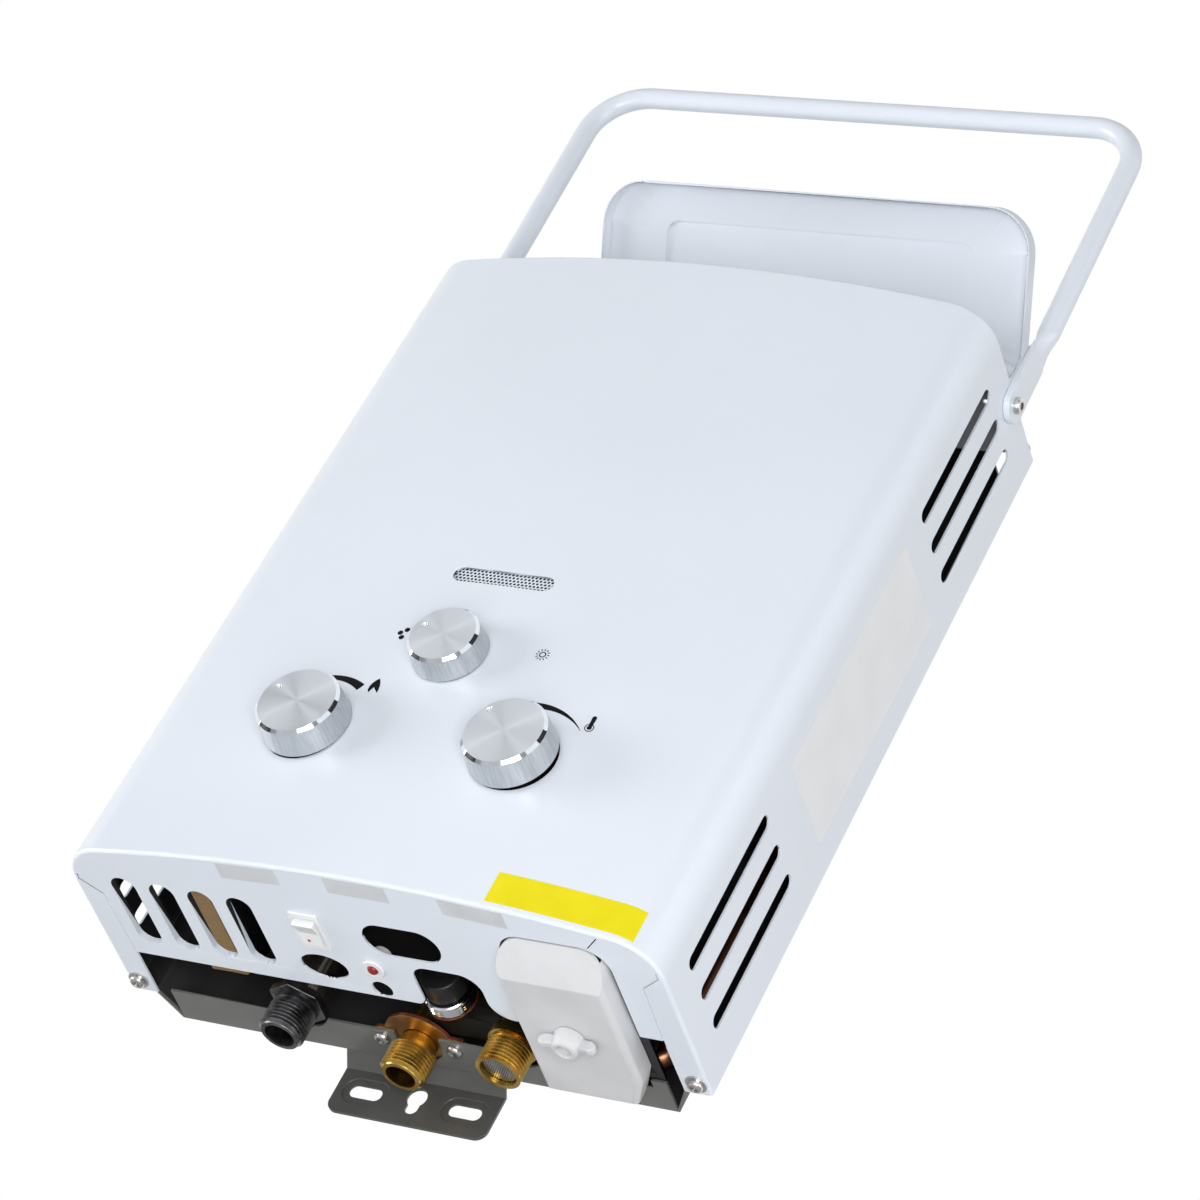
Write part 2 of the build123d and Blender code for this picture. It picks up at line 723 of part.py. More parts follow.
with BuildPart() as rain_cap:
    with BuildSketch(cap_under.offset(-cap_sheet)):
        RectangleRounded(cap_w, cap_len, cap_corner)
    extrude(amount=cap_sheet + cap_rim)
    crest = rain_cap.faces().sort_by(SortBy.AREA)[-2:].sort_by(Axis.Z)[-1]
    fillet(crest.edges(), radius=2)
    with BuildSketch(cap_under):
        RectangleRounded(cap_w - 2 * cap_sheet, cap_len - 2 * cap_sheet, cap_corner - cap_sheet)
    extrude(amount=cap_rim, mode=Mode.SUBTRACT)
    with BuildSketch(cap_under.offset(-cap_sheet - cap_press)):
        RectangleRounded(press_w + 2 * cap_sheet, press_len + 2 * cap_sheet, 7)
    extrude(amount=cap_sheet + cap_press)
    with BuildSketch(cap_under.offset(-cap_press)):
        RectangleRounded(press_w, press_len, 6)
    extrude(amount=cap_press, mode=Mode.SUBTRACT)
    # the rear rim is open where the bracket comes in
    with BuildSketch(cap_under):
        with Locations((0, -cap_len / 2)):
            Rectangle(cap_bracket_w + 4, 3 * cap_sheet)
    extrude(amount=cap_rim, mode=Mode.SUBTRACT)
    with BuildSketch(cap_under.offset(-cap_sheet)):
        with Locations((cap_screw_x, -(cap_len - cap_band) / 2 - 1), (-cap_screw_x, -(cap_len - cap_band) / 2 - 1)):
            Circle(screw_r + fit)
    extrude(amount=cap_sheet, mode=Mode.SUBTRACT)
rain_cap.part.label = "rain_cap"

with BuildPart() as rain_cap_bracket:
    with BuildSketch(Plane.YZ):
        with BuildLine():
            outer_s = (cap_y - pan_in) / cos(tilt)
            inner_s = (cap_y - strap_y - sin(tilt) * cap_bracket_t) / cos(tilt)
            end_s = -press_len / 2 - 1
            Polyline(
                (pan_in, top_z - cap_bracket_foot),
                under_cap(outer_s, 0),
                under_cap(end_s, 0),
                under_cap(end_s, cap_bracket_t),
                under_cap(inner_s, cap_bracket_t),
                (strap_y, top_z - cap_bracket_foot),
                close=True,
            )
        make_face()
    extrude(amount=cap_bracket_w / 2, both=True)
    with BuildSketch(cap_under.offset(-1)):
        with Locations((cap_screw_x, -(cap_len - cap_band) / 2 - 1), (-cap_screw_x, -(cap_len - cap_band) / 2 - 1)):
            Circle(screw_r + fit)
    extrude(amount=cap_bracket_t + 2, mode=Mode.SUBTRACT)
    with BuildSketch(Plane.XZ.offset(-pan_in - 1)):
        with Locations((0, top_z - cap_bracket_foot / 2)):
            with GridLocations(2 * cap_foot_screw_x, 1, 2, 1):
                Circle(screw_r + fit)
    extrude(amount=cap_bracket_t + 2, mode=Mode.SUBTRACT)
rain_cap_bracket.part.label = "rain_cap_bracket"

with BuildPart() as cap_screws:
    for side in (-1, 1):
        hole = Vector(side * cap_screw_x, *under_cap(-(cap_len - cap_band) / 2 - 1, cap_bracket_t))
        into_cap = Plane(origin=hole, z_dir=(0, sin(tilt), cos(tilt)))
        into_pan = Plane(origin=(side * cap_foot_screw_x, strap_y, top_z - cap_bracket_foot / 2), z_dir=(0, 1, 0))
        for place, grip_len in ((into_cap, cap_bracket_t + cap_sheet), (into_pan, cap_bracket_t + pan_t)):
            with BuildSketch(place):
                Circle(screw_head_r)
            extrude(amount=-2.4)
            with BuildSketch(place):
                Circle(screw_r)
            extrude(amount=grip_len + 3.5)
            with BuildSketch(place.offset(grip_len)):
                RegularPolygon(3.5, 6, major_radius=False)
                Circle(screw_r, mode=Mode.SUBTRACT)
            extrude(amount=2.4)
cap_screws.part.label = "cap_screws"

# --- Cover screws and window mesh ----------------------------------------------------------
with BuildPart() as cover_screws:
    for side in (-1, 1):
        for height, way in ((floor_z, 1), (top_z, -1)):
            inward = Plane(origin=(side * screw_x, rear - screw_depth, height), z_dir=(0, 0, way))
            with BuildSketch(inward):
                Circle(screw_washer_r)
            extrude(amount=-0.8)
            with BuildSketch(inward.offset(-0.8)):
                Circle(screw_head_r)
            extrude(amount=-2.2)
            with BuildSketch(inward):
                Circle(screw_r)
            extrude(amount=sheet + pan_t + 4)
cover_screws.part.label = "cover_screws"

mesh_y = panel_y(window_w / 2 + 8) + sheet
with BuildPart() as window_mesh:
    with BuildSketch(facing_front(window_x, mesh_y + 0.7, up(window_z))):
        RectangleRounded(window_w + 10, window_h + 5, 2)
    extrude(amount=0.5)
window_mesh.part.label = "window_mesh"


# --- Knobs and their stems -----------------------------------------------------------------
def knob(x, base_y, z, base_r, face_r, height, mark_r, mark_angle):
    """Turned knob with a hollow back, a D bore and an index dimple."""
    back = facing_front(x, base_y, z)
    with BuildPart() as body:
        with BuildSketch(back):
            Circle(base_r)
        with BuildSketch(back.offset(height)):
            Circle(face_r)
        loft()
        chamfer(body.faces().sort_by(Axis.Y)[0].edges(), length=knob_chamfer)
        with BuildSketch(back):
            Circle(base_r - knob_skin)
            Circle(stem_r + knob_skin, mode=Mode.SUBTRACT)
        extrude(amount=height - 2 * knob_skin, mode=Mode.SUBTRACT)
        with BuildSketch(back) as bore:
            Circle(stem_r + stem_play)
            with Locations((0, stem_flat + stem_play + stem_r)):
                Rectangle(4 * stem_r, 2 * stem_r, mode=Mode.SUBTRACT)
        extrude(amount=stem_hold + stem_play, mode=Mode.SUBTRACT)
        with BuildSketch(back.offset(height - 0.5)):
            with PolarLocations(mark_r, 1, start_angle=mark_angle):
                Circle(1.5)
        extrude(amount=1, mode=Mode.SUBTRACT)
    return body.part


def stem(x, base_y, z, back_y):
    """Round valve stem with a D end inside its knob."""
    with BuildPart() as body:
        with BuildSketch(facing_front(x, back_y, z)):
            Circle(stem_r)
        extrude(amount=back_y - base_y)
        with BuildSketch(facing_front(x, base_y, z)):
            Circle(stem_r)
            with Locations((0, stem_flat + stem_r)):
                Rectangle(4 * stem_r, 2 * stem_r, mode=Mode.SUBTRACT)
        extrude(amount=stem_hold)
    return body.part


fire_base = panel_y(abs(fire_x) - knob_base_r) - knob_gap
water_base = panel_y(abs(water_x) - knob_base_r) - knob_gap
season_base = panel_y(0) - knob_gap
nose_y = rear - barrel_front - nose_len
stem_back = nose_y + 9

fire_knob = knob(fire_x, fire_base, up(knob_z), knob_base_r, knob_face_r, knob_h, 13.5, 153)
fire_knob.label = "fire_knob"
water_knob = knob(water_x, water_base, up(knob_z), knob_base_r, knob_face_r, knob_h, 15, 139)
water_knob.label = "water_knob"
season_knob = knob(season_x, season_base, up(season_z), season_base_r, season_face_r, season_h, 10.8, 161)
season_knob.label = "season_knob"

fire_stem = stem(fire_x, fire_base, up(knob_z), stem_back)
fire_stem.label = "fire_stem"
water_stem = stem(water_x, water_base, up(knob_z), stem_back)
water_stem.label = "water_stem"

# --- Season stem, gas manifold, burner -----------------------------------------------------
chamber_y0 = rear - chamber_front
chamber_y1 = rear - chamber_rear
chamber_y = (chamber_y0 + chamber_y1) / 2
chamber_d = chamber_y1 - chamber_y0
manifold_y1 = chamber_y0 - nozzle_reach
manifold_y0 = manifold_y1 - manifold_d
season_nose = manifold_y0 - 7
season_back = season_nose + 10

season_stem = stem(season_x, season_base, up(season_z), season_back)
season_stem.label = "season_stem"

burner_xs = [(i - (blade_count - 1) / 2) * blade_pitch for i in range(blade_count)]
manifold_z = manifold_z0 + manifold_h / 2
riser_y = manifold_y1 - riser_r + 1

with BuildPart() as gas_manifold:
    with BuildSketch(Plane.XY.offset(up(manifold_z0))):
        with Locations((0, manifold_y1 - manifold_d / 2)):
            Rectangle(manifold_w, manifold_d)
    extrude(amount=manifold_h)
    fillet(gas_manifold.edges().filter_by(Axis.X), radius=2)
    with BuildSketch(facing_front(0, manifold_y1, up(burner_tube_z))):
        with GridLocations(blade_pitch, 1, blade_count, 1):
            Circle(nozzle_r)
    extrude(amount=-(nozzle_reach - 0.4))
    with BuildSketch(facing_front(0, chamber_y0, up(manifold_z))):
        with GridLocations(manifold_w - 6, 1, 2, 1):
            Rectangle(6, manifold_h)
    extrude(amount=nozzle_reach + 2.5)
    with BuildSketch(facing_front(season_x, manifold_y0 + 1, up(season_z))):
        Circle(nose_r)
    extrude(amount=manifold_y0 + 1 - season_nose)
    with BuildSketch(facing_front(season_x, season_nose, up(season_z))):
        Circle(stem_r + fit)
    extrude(amount=-10.2, mode=Mode.SUBTRACT)
gas_manifold.part.label = "gas_manifold"

with BuildPart() as burner_frame:
    with BuildSketch(Plane.XY.offset(up(frame_z0))):
        with Locations((0, chamber_y)):
            Rectangle(chamber_w, chamber_d)
            Rectangle(chamber_w - 2 * frame_t, chamber_d - 2 * frame_t, mode=Mode.SUBTRACT)
    extrude(amount=frame_z1 - frame_z0)
    with BuildSketch(facing_front(0, chamber_y0 + 2 * frame_t, up(burner_tube_z))):
        with GridLocations(blade_pitch, 1, blade_count, 1):
            Circle(nozzle_r + 1.2)
    extrude(amount=4 * frame_t, mode=Mode.SUBTRACT)
    # straps to the back plate
    for side in (-1, 1):
        with BuildSketch(Plane.XY.offset(up(frame_z0 + 5))):
            with BuildLine():
                Polyline(
                    (side * chamber_w / 2, chamber_y1 - 26),
                    (side * (chamber_w / 2 + frame_t), chamber_y1 - 26),
                    (side * (chamber_w / 2 + frame_t), pan_in - frame_t),
                    (side * (chamber_w / 2 + 12), pan_in - frame_t),
                    (side * (chamber_w / 2 + 12), pan_in),
                    (side * chamber_w / 2, pan_in),
                    close=True,
                )
            make_face()
        extrude(amount=frame_z1 - frame_z0 - 15)
burner_frame.part.label = "burner_frame"

with BuildPart() as burner_blades:
    with BuildSketch(facing_front(0, chamber_y1 - frame_t, up(burner_tube_z))):
        with GridLocations(blade_pitch, 1, blade_count, 1):
            Circle(burner_tube_r)
            with Locations((0, 20)):
                Rectangle(burner_neck, 40)
            with Locations((0, 34)):
                Rectangle(burner_w, 12)
            Circle(burner_tube_r - 1.5, mode=Mode.SUBTRACT)
    extrude(amount=chamber_d - 2 * frame_t)
burner_blades.part.label = "burner_blades"

# --- Combustion chamber, finned block and hood ---------------------------------------------
tube_z = shell_z1 + fin_h / 2
tube_ys = [rear - tube_front + i * tube_pitch for i in range(3)]
tube_out = chamber_w / 2 + 4
feed_x = tube_out + pipe_bend + feed_play

shell_r = pipe_bend - pipe_r - seat    # the wrapped pipe bends round the shell's corners

with BuildPart() as heat_exchanger_shell:
    with BuildSketch(Plane.XY.offset(up(frame_z1))):
        with Locations((0, chamber_y)):
            RectangleRounded(chamber_w, chamber_d, shell_r)
            inner = (chamber_w - 2 * shell_t, chamber_d - 2 * shell_t)
            RectangleRounded(*inner, shell_r - shell_t, mode=Mode.SUBTRACT)
    extrude(amount=shell_z1 - frame_z1)
    # sight and ignition window in the front wall
    with BuildSketch(facing_front(5, chamber_y0 + 2 * shell_t, up(frame_z1))):
        Rectangle(90, 36)
    extrude(amount=4 * shell_t, mode=Mode.SUBTRACT)
heat_exchanger_shell.part.label = "heat_exchanger_shell"

with BuildPart() as heat_exchanger_fins:
    fin_pitch = (chamber_w - fin_t) / (fin_count - 1)
    with BuildSketch(Plane.YZ.offset(-chamber_w / 2)):
        with Locations((chamber_y, up(tube_z))):
            Rectangle(chamber_d, fin_h)
    extrude(amount=fin_t)
    fin = heat_exchanger_fins.part
    for i in range(1, fin_count):
        with Locations((i * fin_pitch, 0, 0)):
            add(fin)
    with BuildSketch(Plane.YZ.offset(-tube_out)):
        for y in tube_ys:
            with Locations((y, up(tube_z))):
                Circle(tube_r)
    extrude(amount=2 * tube_out)
    # return bends: the middle tube joins the front one on the left, the rear one on the right
    for side, pair in ((-1, tube_ys[:2]), (1, tube_ys[1:])):
        middle = (pair[0] + pair[1]) / 2
        with BuildSketch(Plane(origin=(side * tube_out, pair[0], up(tube_z)), z_dir=(1, 0, 0))):
            Circle(tube_r)
        revolve(axis=Axis((side * tube_out, middle, up(tube_z)), (0, 0, side)), revolution_arc=180)
heat_exchanger_fins.part.label = "heat_exchanger_fins"

hood_z0 = shell_z1 + fin_h
mouth_y = rear - outlet_depth
with BuildPart() as exhaust_hood:
    for wall, way in ((0, Mode.ADD), (shell_t, Mode.SUBTRACT)):
        with BuildSketch(Plane.XY.offset(up(hood_z0))):
            with Locations((0, chamber_y)):
                RectangleRounded(chamber_w - 2 * wall, chamber_d - 2 * wall, 6 - wall)
        with BuildSketch(Plane.XY.offset(up(hood_z1))):
            with Locations((0, mouth_y)):
                RectangleRounded(outlet_w - 2 * wall, outlet_d - 2 * wall, 8 - wall)
        loft(mode=way)
        with BuildSketch(Plane.XY.offset(up(hood_z1))):
            with Locations((0, mouth_y)):
                RectangleRounded(outlet_w - 2 * wall, outlet_d - 2 * wall, 8 - wall)
        extrude(amount=body_h + hood_over - hood_z1, mode=way)
exhaust_hood.part.label = "exhaust_hood"

# --- Pipes ---------------------------------------------------------------------------------
pipe_y = rear + pipe_back
wrap_x = chamber_w / 2 + pipe_r + seat
wrap_y = chamber_y0 - pipe_r - seat
union_h = 9.0


def bent_pipe(points, bend, start_dir):
    """Pipe along straight runs joined by tangent bends."""
    with BuildPart() as pipe:
        with BuildLine() as route:
            FilletPolyline(*points, radius=bend)
        with BuildSketch(Plane(origin=route.line @ 0, z_dir=start_dir)):
            Circle(pipe_r)
        sweep(path=route.line)
    return pipe.part


with BuildPart() as cold_pipe:
    add(bent_pipe([
        (inlet_x + 13, pipe_y, up(cold_z)),
        (cold_x, pipe_y, up(cold_z)),
        (cold_x, pipe_y, up(union_z)),
    ], pipe_bend, (1, 0, 0)))
    with BuildSketch(Plane.XY.offset(up(union_z))):
        with Locations((cold_x, pipe_y)):
            RegularPolygon(7.5, 6, major_radius=False)
    extrude(amount=-union_h)
cold_pipe.part.label = "cold_pipe"

with BuildPart() as heat_exchanger_pipe:
    add(bent_pipe([
        (cold_x, pipe_y, up(union_z)),
        (cold_x, pipe_y, up(wrap_z)),
        (-wrap_x, pipe_y, up(wrap_z)),
        (-wrap_x, wrap_y, up(wrap_z)),
        (feed_x, wrap_y, up(wrap_z)),
        (feed_x, tube_ys[0], up(wrap_z)),
        (feed_x, tube_ys[0], up(tube_z)),
        (tube_out, tube_ys[0], up(tube_z)),
    ], pipe_bend, (0, 0, 1)))
heat_exchanger_pipe.part.label = "heat_exchanger_pipe"

with BuildPart() as hot_pipe:
    add(bent_pipe([
        (-tube_out, tube_ys[2], up(tube_z)),
        (hot_x, tube_ys[2], up(tube_z)),
        (hot_x, tube_ys[2], up(hot_z_top)),
        (hot_x, pipe_y, up(hot_z_low)),
        (hot_x, pipe_y, up(hot_z)),
        (outlet_x, pipe_y, up(hot_z)),
        (outlet_x, pipe_y, up(hot_leg_top)),
        (outlet_x, outlet_y, up(hot_leg_low)),
        (outlet_x, outlet_y, up(hot_end)),
    ], pipe_bend, (-1, 0, 0)))
hot_pipe.part.label = "hot_pipe"

# --- Gas side ------------------------------------------------------------------------------
rod_y = rear - rod_depth
barrel_y0 = rear - barrel_front
gas_barrel_y1 = rear - 0.5
solenoid_x = fire_x - gas_barrel_r - 1

with BuildPart() as gas_inlet:
    with BuildSketch(Plane.XY.offset(up(-gas_drop))):
        with Locations((gas_x, fitting_y)):
            Circle(thread_r)
    extrude(amount=gas_drop)
    chamfer(gas_inlet.faces().sort_by(Axis.Z)[0].edges(), length=0.8)
    with BuildSketch(Plane.XY.offset(floor_z)):
        with Locations((gas_x, fitting_y)):
            RegularPolygon(hex_flats / 2, 6, major_radius=False)
    extrude(amount=hex_h)
    with BuildSketch(Plane.XY.offset(up(-gas_drop))):
        with Locations((gas_x, fitting_y)):
            Circle(fitting_bore_r)
    extrude(amount=gas_drop + hex_h, mode=Mode.SUBTRACT)
gas_inlet.part.label = "gas_inlet"

with BuildPart() as gas_valve_body:
    with BuildSketch(Plane.XY.offset(up(hex_h))):
        with Locations((gas_x, fitting_y)):
            Circle(leg_r)
    extrude(amount=knob_z - hex_h)
    with BuildSketch(facing_front(fire_x, gas_barrel_y1, up(knob_z))):
        Circle(gas_barrel_r)
    extrude(amount=gas_barrel_y1 - barrel_y0)
    with BuildSketch(facing_front(fire_x, barrel_y0 + 1, up(knob_z))):
        Circle(nose_r)
    extrude(amount=nose_len + 1)
    with BuildSketch(Plane.YZ.offset(fire_x)):
        with Locations((rod_y, up(rod_z))):
            Circle(boss_r)
    extrude(amount=boss_end - fire_x)
    with BuildSketch(Plane.XY.offset(up(knob_z))):
        with Locations((fire_x, riser_y)):
            Circle(riser_r)
    extrude(amount=manifold_z0 - knob_z)
    with BuildSketch(Plane.YZ.offset(solenoid_x)):
        with Locations((rod_y + 5, up(knob_z))):
            Circle(8)
    extrude(amount=gas_barrel_r)
    with BuildSketch(facing_front(fire_x, nose_y, up(knob_z))):
        Circle(stem_r + fit)
    extrude(amount=-9.2, mode=Mode.SUBTRACT)
    with BuildSketch(Plane.YZ.offset(boss_end)):
        with Locations((rod_y, up(rod_z))):
            Circle(rod_r + fit)
    extrude(amount=-(rod_len - rod_right + boss_end + rod_travel + 1.5), mode=Mode.SUBTRACT)
gas_valve_body.part.label = "gas_valve_body"

with BuildPart() as gas_solenoid:
    with BuildSketch(Plane.YZ.offset(solenoid_x)):
        with Locations((rod_y + 5, up(knob_z))):
            Circle(11)
    extrude(amount=-24)
    with BuildSketch(Plane.YZ.offset(solenoid_x - 24)):
        with Locations((rod_y + 5, up(knob_z))):
            Circle(8)
    extrude(amount=-3)
gas_solenoid.part.label = "gas_solenoid"

# --- Water side ----------------------------------------------------------------------------
disc_x1 = disc_x0 + disc_half
disc_x2 = disc_x1 + diaphragm_t
disc_x3 = disc_x2 + disc_half
gallery_y1 = rear - 4
gallery_y0 = rear - drain_face + 0.4

with BuildPart() as water_inlet:
    with BuildSketch(Plane.XY.offset(up(-inlet_drop))):
        with Locations((inlet_x, fitting_y)):
            Circle(thread_r)
    extrude(amount=inlet_drop)
    chamfer(water_inlet.faces().sort_by(Axis.Z)[0].edges(), length=0.8)
    with BuildSketch(Plane.XY.offset(floor_z)):
        with Locations((inlet_x, fitting_y)):
            Circle(thread_r + 1)
    extrude(amount=hex_h)
    with BuildSketch(Plane.XY.offset(up(-inlet_drop))):
        with Locations((inlet_x, fitting_y)):
            Circle(fitting_bore_r)
    extrude(amount=inlet_drop + hex_h, mode=Mode.SUBTRACT)
    with BuildSketch(Plane.XY.offset(up(-inlet_drop))):
        with Locations((inlet_x, fitting_y)):
            Circle(fitting_bore_r + 1.6)
    extrude(amount=2.6, mode=Mode.SUBTRACT)
water_inlet.part.label = "water_inlet"

with BuildPart() as inlet_filter:
    with BuildSketch(Plane.XY.offset(up(-inlet_drop) + 2)):
        with Locations((inlet_x, fitting_y)):
            Circle(fitting_bore_r + 1.6 - fit)
    extrude(amount=0.6)
inlet_filter.part.label = "inlet_filter"

with BuildPart() as water_valve_body:
    with BuildSketch(Plane.XY.offset(up(hex_h))):
        with Locations((inlet_x, fitting_y)):
            Circle(leg_r)
    extrude(amount=knob_z - hex_h)
    with BuildSketch(facing_front(water_x, rear - 6, up(knob_z))):
        Circle(barrel_r)
    extrude(amount=rear - 6 - barrel_y0)
    with BuildSketch(facing_front(water_x, barrel_y0 + 1, up(knob_z))):
        Circle(nose_r)
    extrude(amount=nose_len + 1)
    with BuildSketch(Plane.YZ.offset(disc_x2)):
        with Locations((rod_y, up(rod_z))):
            Circle(disc_r)
    extrude(amount=disc_half)
    with BuildSketch(Plane.YZ.offset(disc_x3 - 1)):
        with Locations((rod_y, up(rod_z))):
            Circle(disc_r - 12)
    extrude(amount=water_x - disc_x3)
    with BuildSketch(Plane.XY.offset(up(hex_h))):
        with Locations(((drain_x - 9 + inlet_x) / 2, (gallery_y0 + gallery_y1) / 2)):
            Rectangle(inlet_x - drain_x + 9, gallery_y1 - gallery_y0)
    extrude(amount=2 * (drain_z - hex_h))
    with BuildSketch(Plane.YZ.offset(inlet_x)):
        with Locations((pipe_y - 2.5, up(cold_z))):
            Rectangle(17, 16)
    extrude(amount=13)
    with BuildSketch(facing_front(water_x, nose_y, up(knob_z))):
        Circle(stem_r + fit)
    extrude(amount=-9.2, mode=Mode.SUBTRACT)
    with BuildSketch(facing_front(drain_x, gallery_y0, up(drain_z))):
        Circle(6 + fit)
    extrude(amount=-9, mode=Mode.SUBTRACT)
water_valve_body.part.label = "water_valve_body"

with BuildPart() as valve_diaphragm:
    with BuildSketch(Plane.YZ.offset(disc_x1)):
        with Locations((rod_y, up(rod_z))):
            Circle(disc_r)
    extrude(amount=diaphragm_t)
valve_diaphragm.part.label = "valve_diaphragm"

with BuildPart() as water_valve_cover:
    with BuildSketch(Plane.YZ.offset(disc_x0 + 5)):
        with Locations((rod_y, up(rod_z))):
            Circle(disc_r)
    extrude(amount=disc_half - 5)
    with BuildSketch(Plane.YZ.offset(disc_x0)):
        with Locations((rod_y, up(rod_z))):
            Circle(disc_r - 9)
    extrude(amount=disc_half)
    with BuildSketch(Plane.YZ.offset(neck_end)):
        with Locations((rod_y, up(rod_z))):
            Circle(neck_r)
    extrude(amount=disc_x0 - neck_end + 1)
    with BuildSketch(Plane.YZ.offset(neck_end)):
        with Locations((rod_y, up(rod_z))):
            Circle(rod_r + fit)
    extrude(amount=rod_right - neck_end + 1, mode=Mode.SUBTRACT)
water_valve_cover.part.label = "water_valve_cover"

with BuildPart() as push_rod:
    with BuildSketch(Plane.YZ.offset(rod_right - rod_len)):
        with Locations((rod_y, up(rod_z))):
            Circle(rod_r)
    extrude(amount=rod_len)
    with BuildSketch(Plane.YZ.offset(collar_x - collar_t / 2)):
        with Locations((rod_y, up(rod_z))):
            Circle(collar_r)
    extrude(amount=collar_t)
push_rod.part.label = "push_rod"

with BuildPart() as drain_plug_body:
    with BuildSketch(facing_front(drain_x, gallery_y0 - 0.4, up(drain_z))):
        Circle(drain_r)
    extrude(amount=6)
    chamfer(drain_plug_body.faces().sort_by(Axis.Y)[0].edges(), length=0.8)
    with BuildSketch(facing_front(drain_x, gallery_y0 - 0.4, up(drain_z))):
        Circle(6)
    extrude(amount=-8)
    with BuildSketch(facing_front(drain_x, gallery_y0 - 6.4, up(drain_z))):
        Circle(4 + fit)
    extrude(amount=-9, mode=Mode.SUBTRACT)
drain_plug_body.part.label = "drain_plug_body"

drain_cap_y = gallery_y0 - 0.4 - 6 - 2
with BuildPart() as drain_plug_cap:
    with BuildSketch(facing_front(drain_x, drain_cap_y, up(drain_z))):
        Circle(drain_cap_r)
    extrude(amount=10)
    fillet(drain_plug_cap.faces().sort_by(Axis.Y)[0].edges(), radius=1.2)
    with BuildSketch(facing_front(drain_x, drain_cap_y, up(drain_z))):
        Circle(7)
    extrude(amount=-1.7)
    with BuildSketch(facing_front(drain_x, drain_cap_y, up(drain_z))):
        Circle(4)
    extrude(amount=-9)
drain_plug_cap.part.label = "drain_plug_cap"

with BuildPart() as water_outlet:
    with BuildSketch(Plane.XY.offset(up(-outlet_drop))):
        with Locations((outlet_x, outlet_y)):
            Circle(thread_r)
    extrude(amount=outlet_drop - outlet_neck_h)
    chamfer(water_outlet.faces().sort_by(Axis.Z)[0].edges(), length=0.8)
    with BuildSketch(Plane.XY.offset(up(-outlet_neck_h))):
        with Locations((outlet_x, outlet_y)):
            Circle(outlet_neck_r)
    extrude(amount=outlet_neck_h + pan_t)
    with BuildSketch(Plane.XY.offset(up(pan_t))):
        with Locations((outlet_x, outlet_y)):
            Circle(8)
    extrude(amount=16 - pan_t)
    with BuildSketch(Plane.XY.offset(up(-outlet_drop))):
        with Locations((outlet_x, outlet_y)):
            Circle(fitting_bore_r)
    extrude(amount=outlet_drop + 12, mode=Mode.SUBTRACT)
water_outlet.part.label = "water_outlet"

with BuildPart() as outlet_flange:
    with BuildSketch(Plane.XY.offset(up(pan_t))):
        with Locations((outlet_x, outlet_y)):
            Circle(oval_r)
            with GridLocations(outlet_screw_pitch, 1, 2, 1):
                Circle(oval_ear_r)
            Circle(8 + seat, mode=Mode.SUBTRACT)
            with GridLocations(outlet_screw_pitch, 1, 2, 1):
                Circle(screw_r + fit, mode=Mode.SUBTRACT)
        with Locations((outlet_x, pan_in + oval_r)):
            Rectangle(4 * oval_r, 2 * oval_r + 2 * seat, mode=Mode.SUBTRACT)
    extrude(amount=oval_t)
outlet_flange.part.label = "outlet_flange"

with BuildPart() as flange_screws:
    for side in (-1, 1):
        upward = Plane(origin=(outlet_x + side * outlet_screw_pitch / 2, outlet_y, floor_z))
        with BuildSketch(upward):
            Circle(screw_head_r)
        extrude(amount=-2.4)
        with BuildSketch(upward):
            Circle(screw_r)
        extrude(amount=pan_t + oval_t + 3.5)
        with BuildSketch(upward.offset(pan_t + oval_t)):
            RegularPolygon(3.5, 6, major_radius=False)
            Circle(screw_r, mode=Mode.SUBTRACT)
        extrude(amount=2.4)
flange_screws.part.label = "flange_screws"

# --- Microswitch, ignition and safety ------------------------------------------------------
pin_x = collar_x + collar_t / 2 + 0.7
pin_z = switch_z1 + 2

with BuildPart() as microswitch:
    with BuildSketch(Plane.XY.offset(up(switch_z1 - switch_h))):
        with Locations((switch_x0 + switch_len / 2, rod_y)):
            Rectangle(switch_len, switch_w)
    extrude(amount=switch_h)
    with BuildSketch(facing_front(pin_x, rod_y + switch_w / 2, up(switch_z1 - 1))):
        Rectangle(4.4, 10.4)
    extrude(amount=switch_w)
    with BuildSketch(facing_front(pin_x, rod_y + switch_w / 2 - 1.7, up(switch_z1))):
        with Locations((0, 5)):
            Rectangle(6, 10)
    extrude(amount=switch_w - 3.4, mode=Mode.SUBTRACT)
    with BuildSketch(facing_front(pin_x, rod_y + switch_w / 2 + 1, up(pin_z))):
        Circle(pin_r + fit)
    extrude(amount=switch_w + 2, mode=Mode.SUBTRACT)
microswitch.part.label = "microswitch"

with BuildPart() as microswitch_lever:
    with BuildSketch(Plane.YZ.offset(pin_x - lever_t / 2)):
        with Locations((rod_y, up(pin_z) + 4.5)):
            Rectangle(10, 11)
        with Locations((rod_y, up(rod_z) + 2)):
            Rectangle(2 * rod_r + 0.8, 9, mode=Mode.SUBTRACT)
    extrude(amount=lever_t)
    with BuildSketch(facing_front(pin_x, rod_y + switch_w / 2, up(pin_z))):
        Circle(pin_r)
    extrude(amount=switch_w)
microswitch_lever.part.label = "microswitch_lever"

with BuildPart() as switch_bracket:
    with BuildSketch(Plane.XZ.offset(-rod_y)):
        with BuildLine():
            Polyline(
                (switch_x0 - 8, up(rod_z - boss_r)),
                (switch_x0 - 6.8, up(rod_z - boss_r)),
                (switch_x0 - 6.8, up(switch_z1 - switch_h)),
                (switch_x0 + switch_len, up(switch_z1 - switch_h)),
                (switch_x0 + switch_len, up(switch_z1 - switch_h) - 1.2),
                (switch_x0 - 8, up(switch_z1 - switch_h) - 1.2),
                close=True,
            )
        make_face()
    extrude(amount=5, both=True)
switch_bracket.part.label = "switch_bracket"

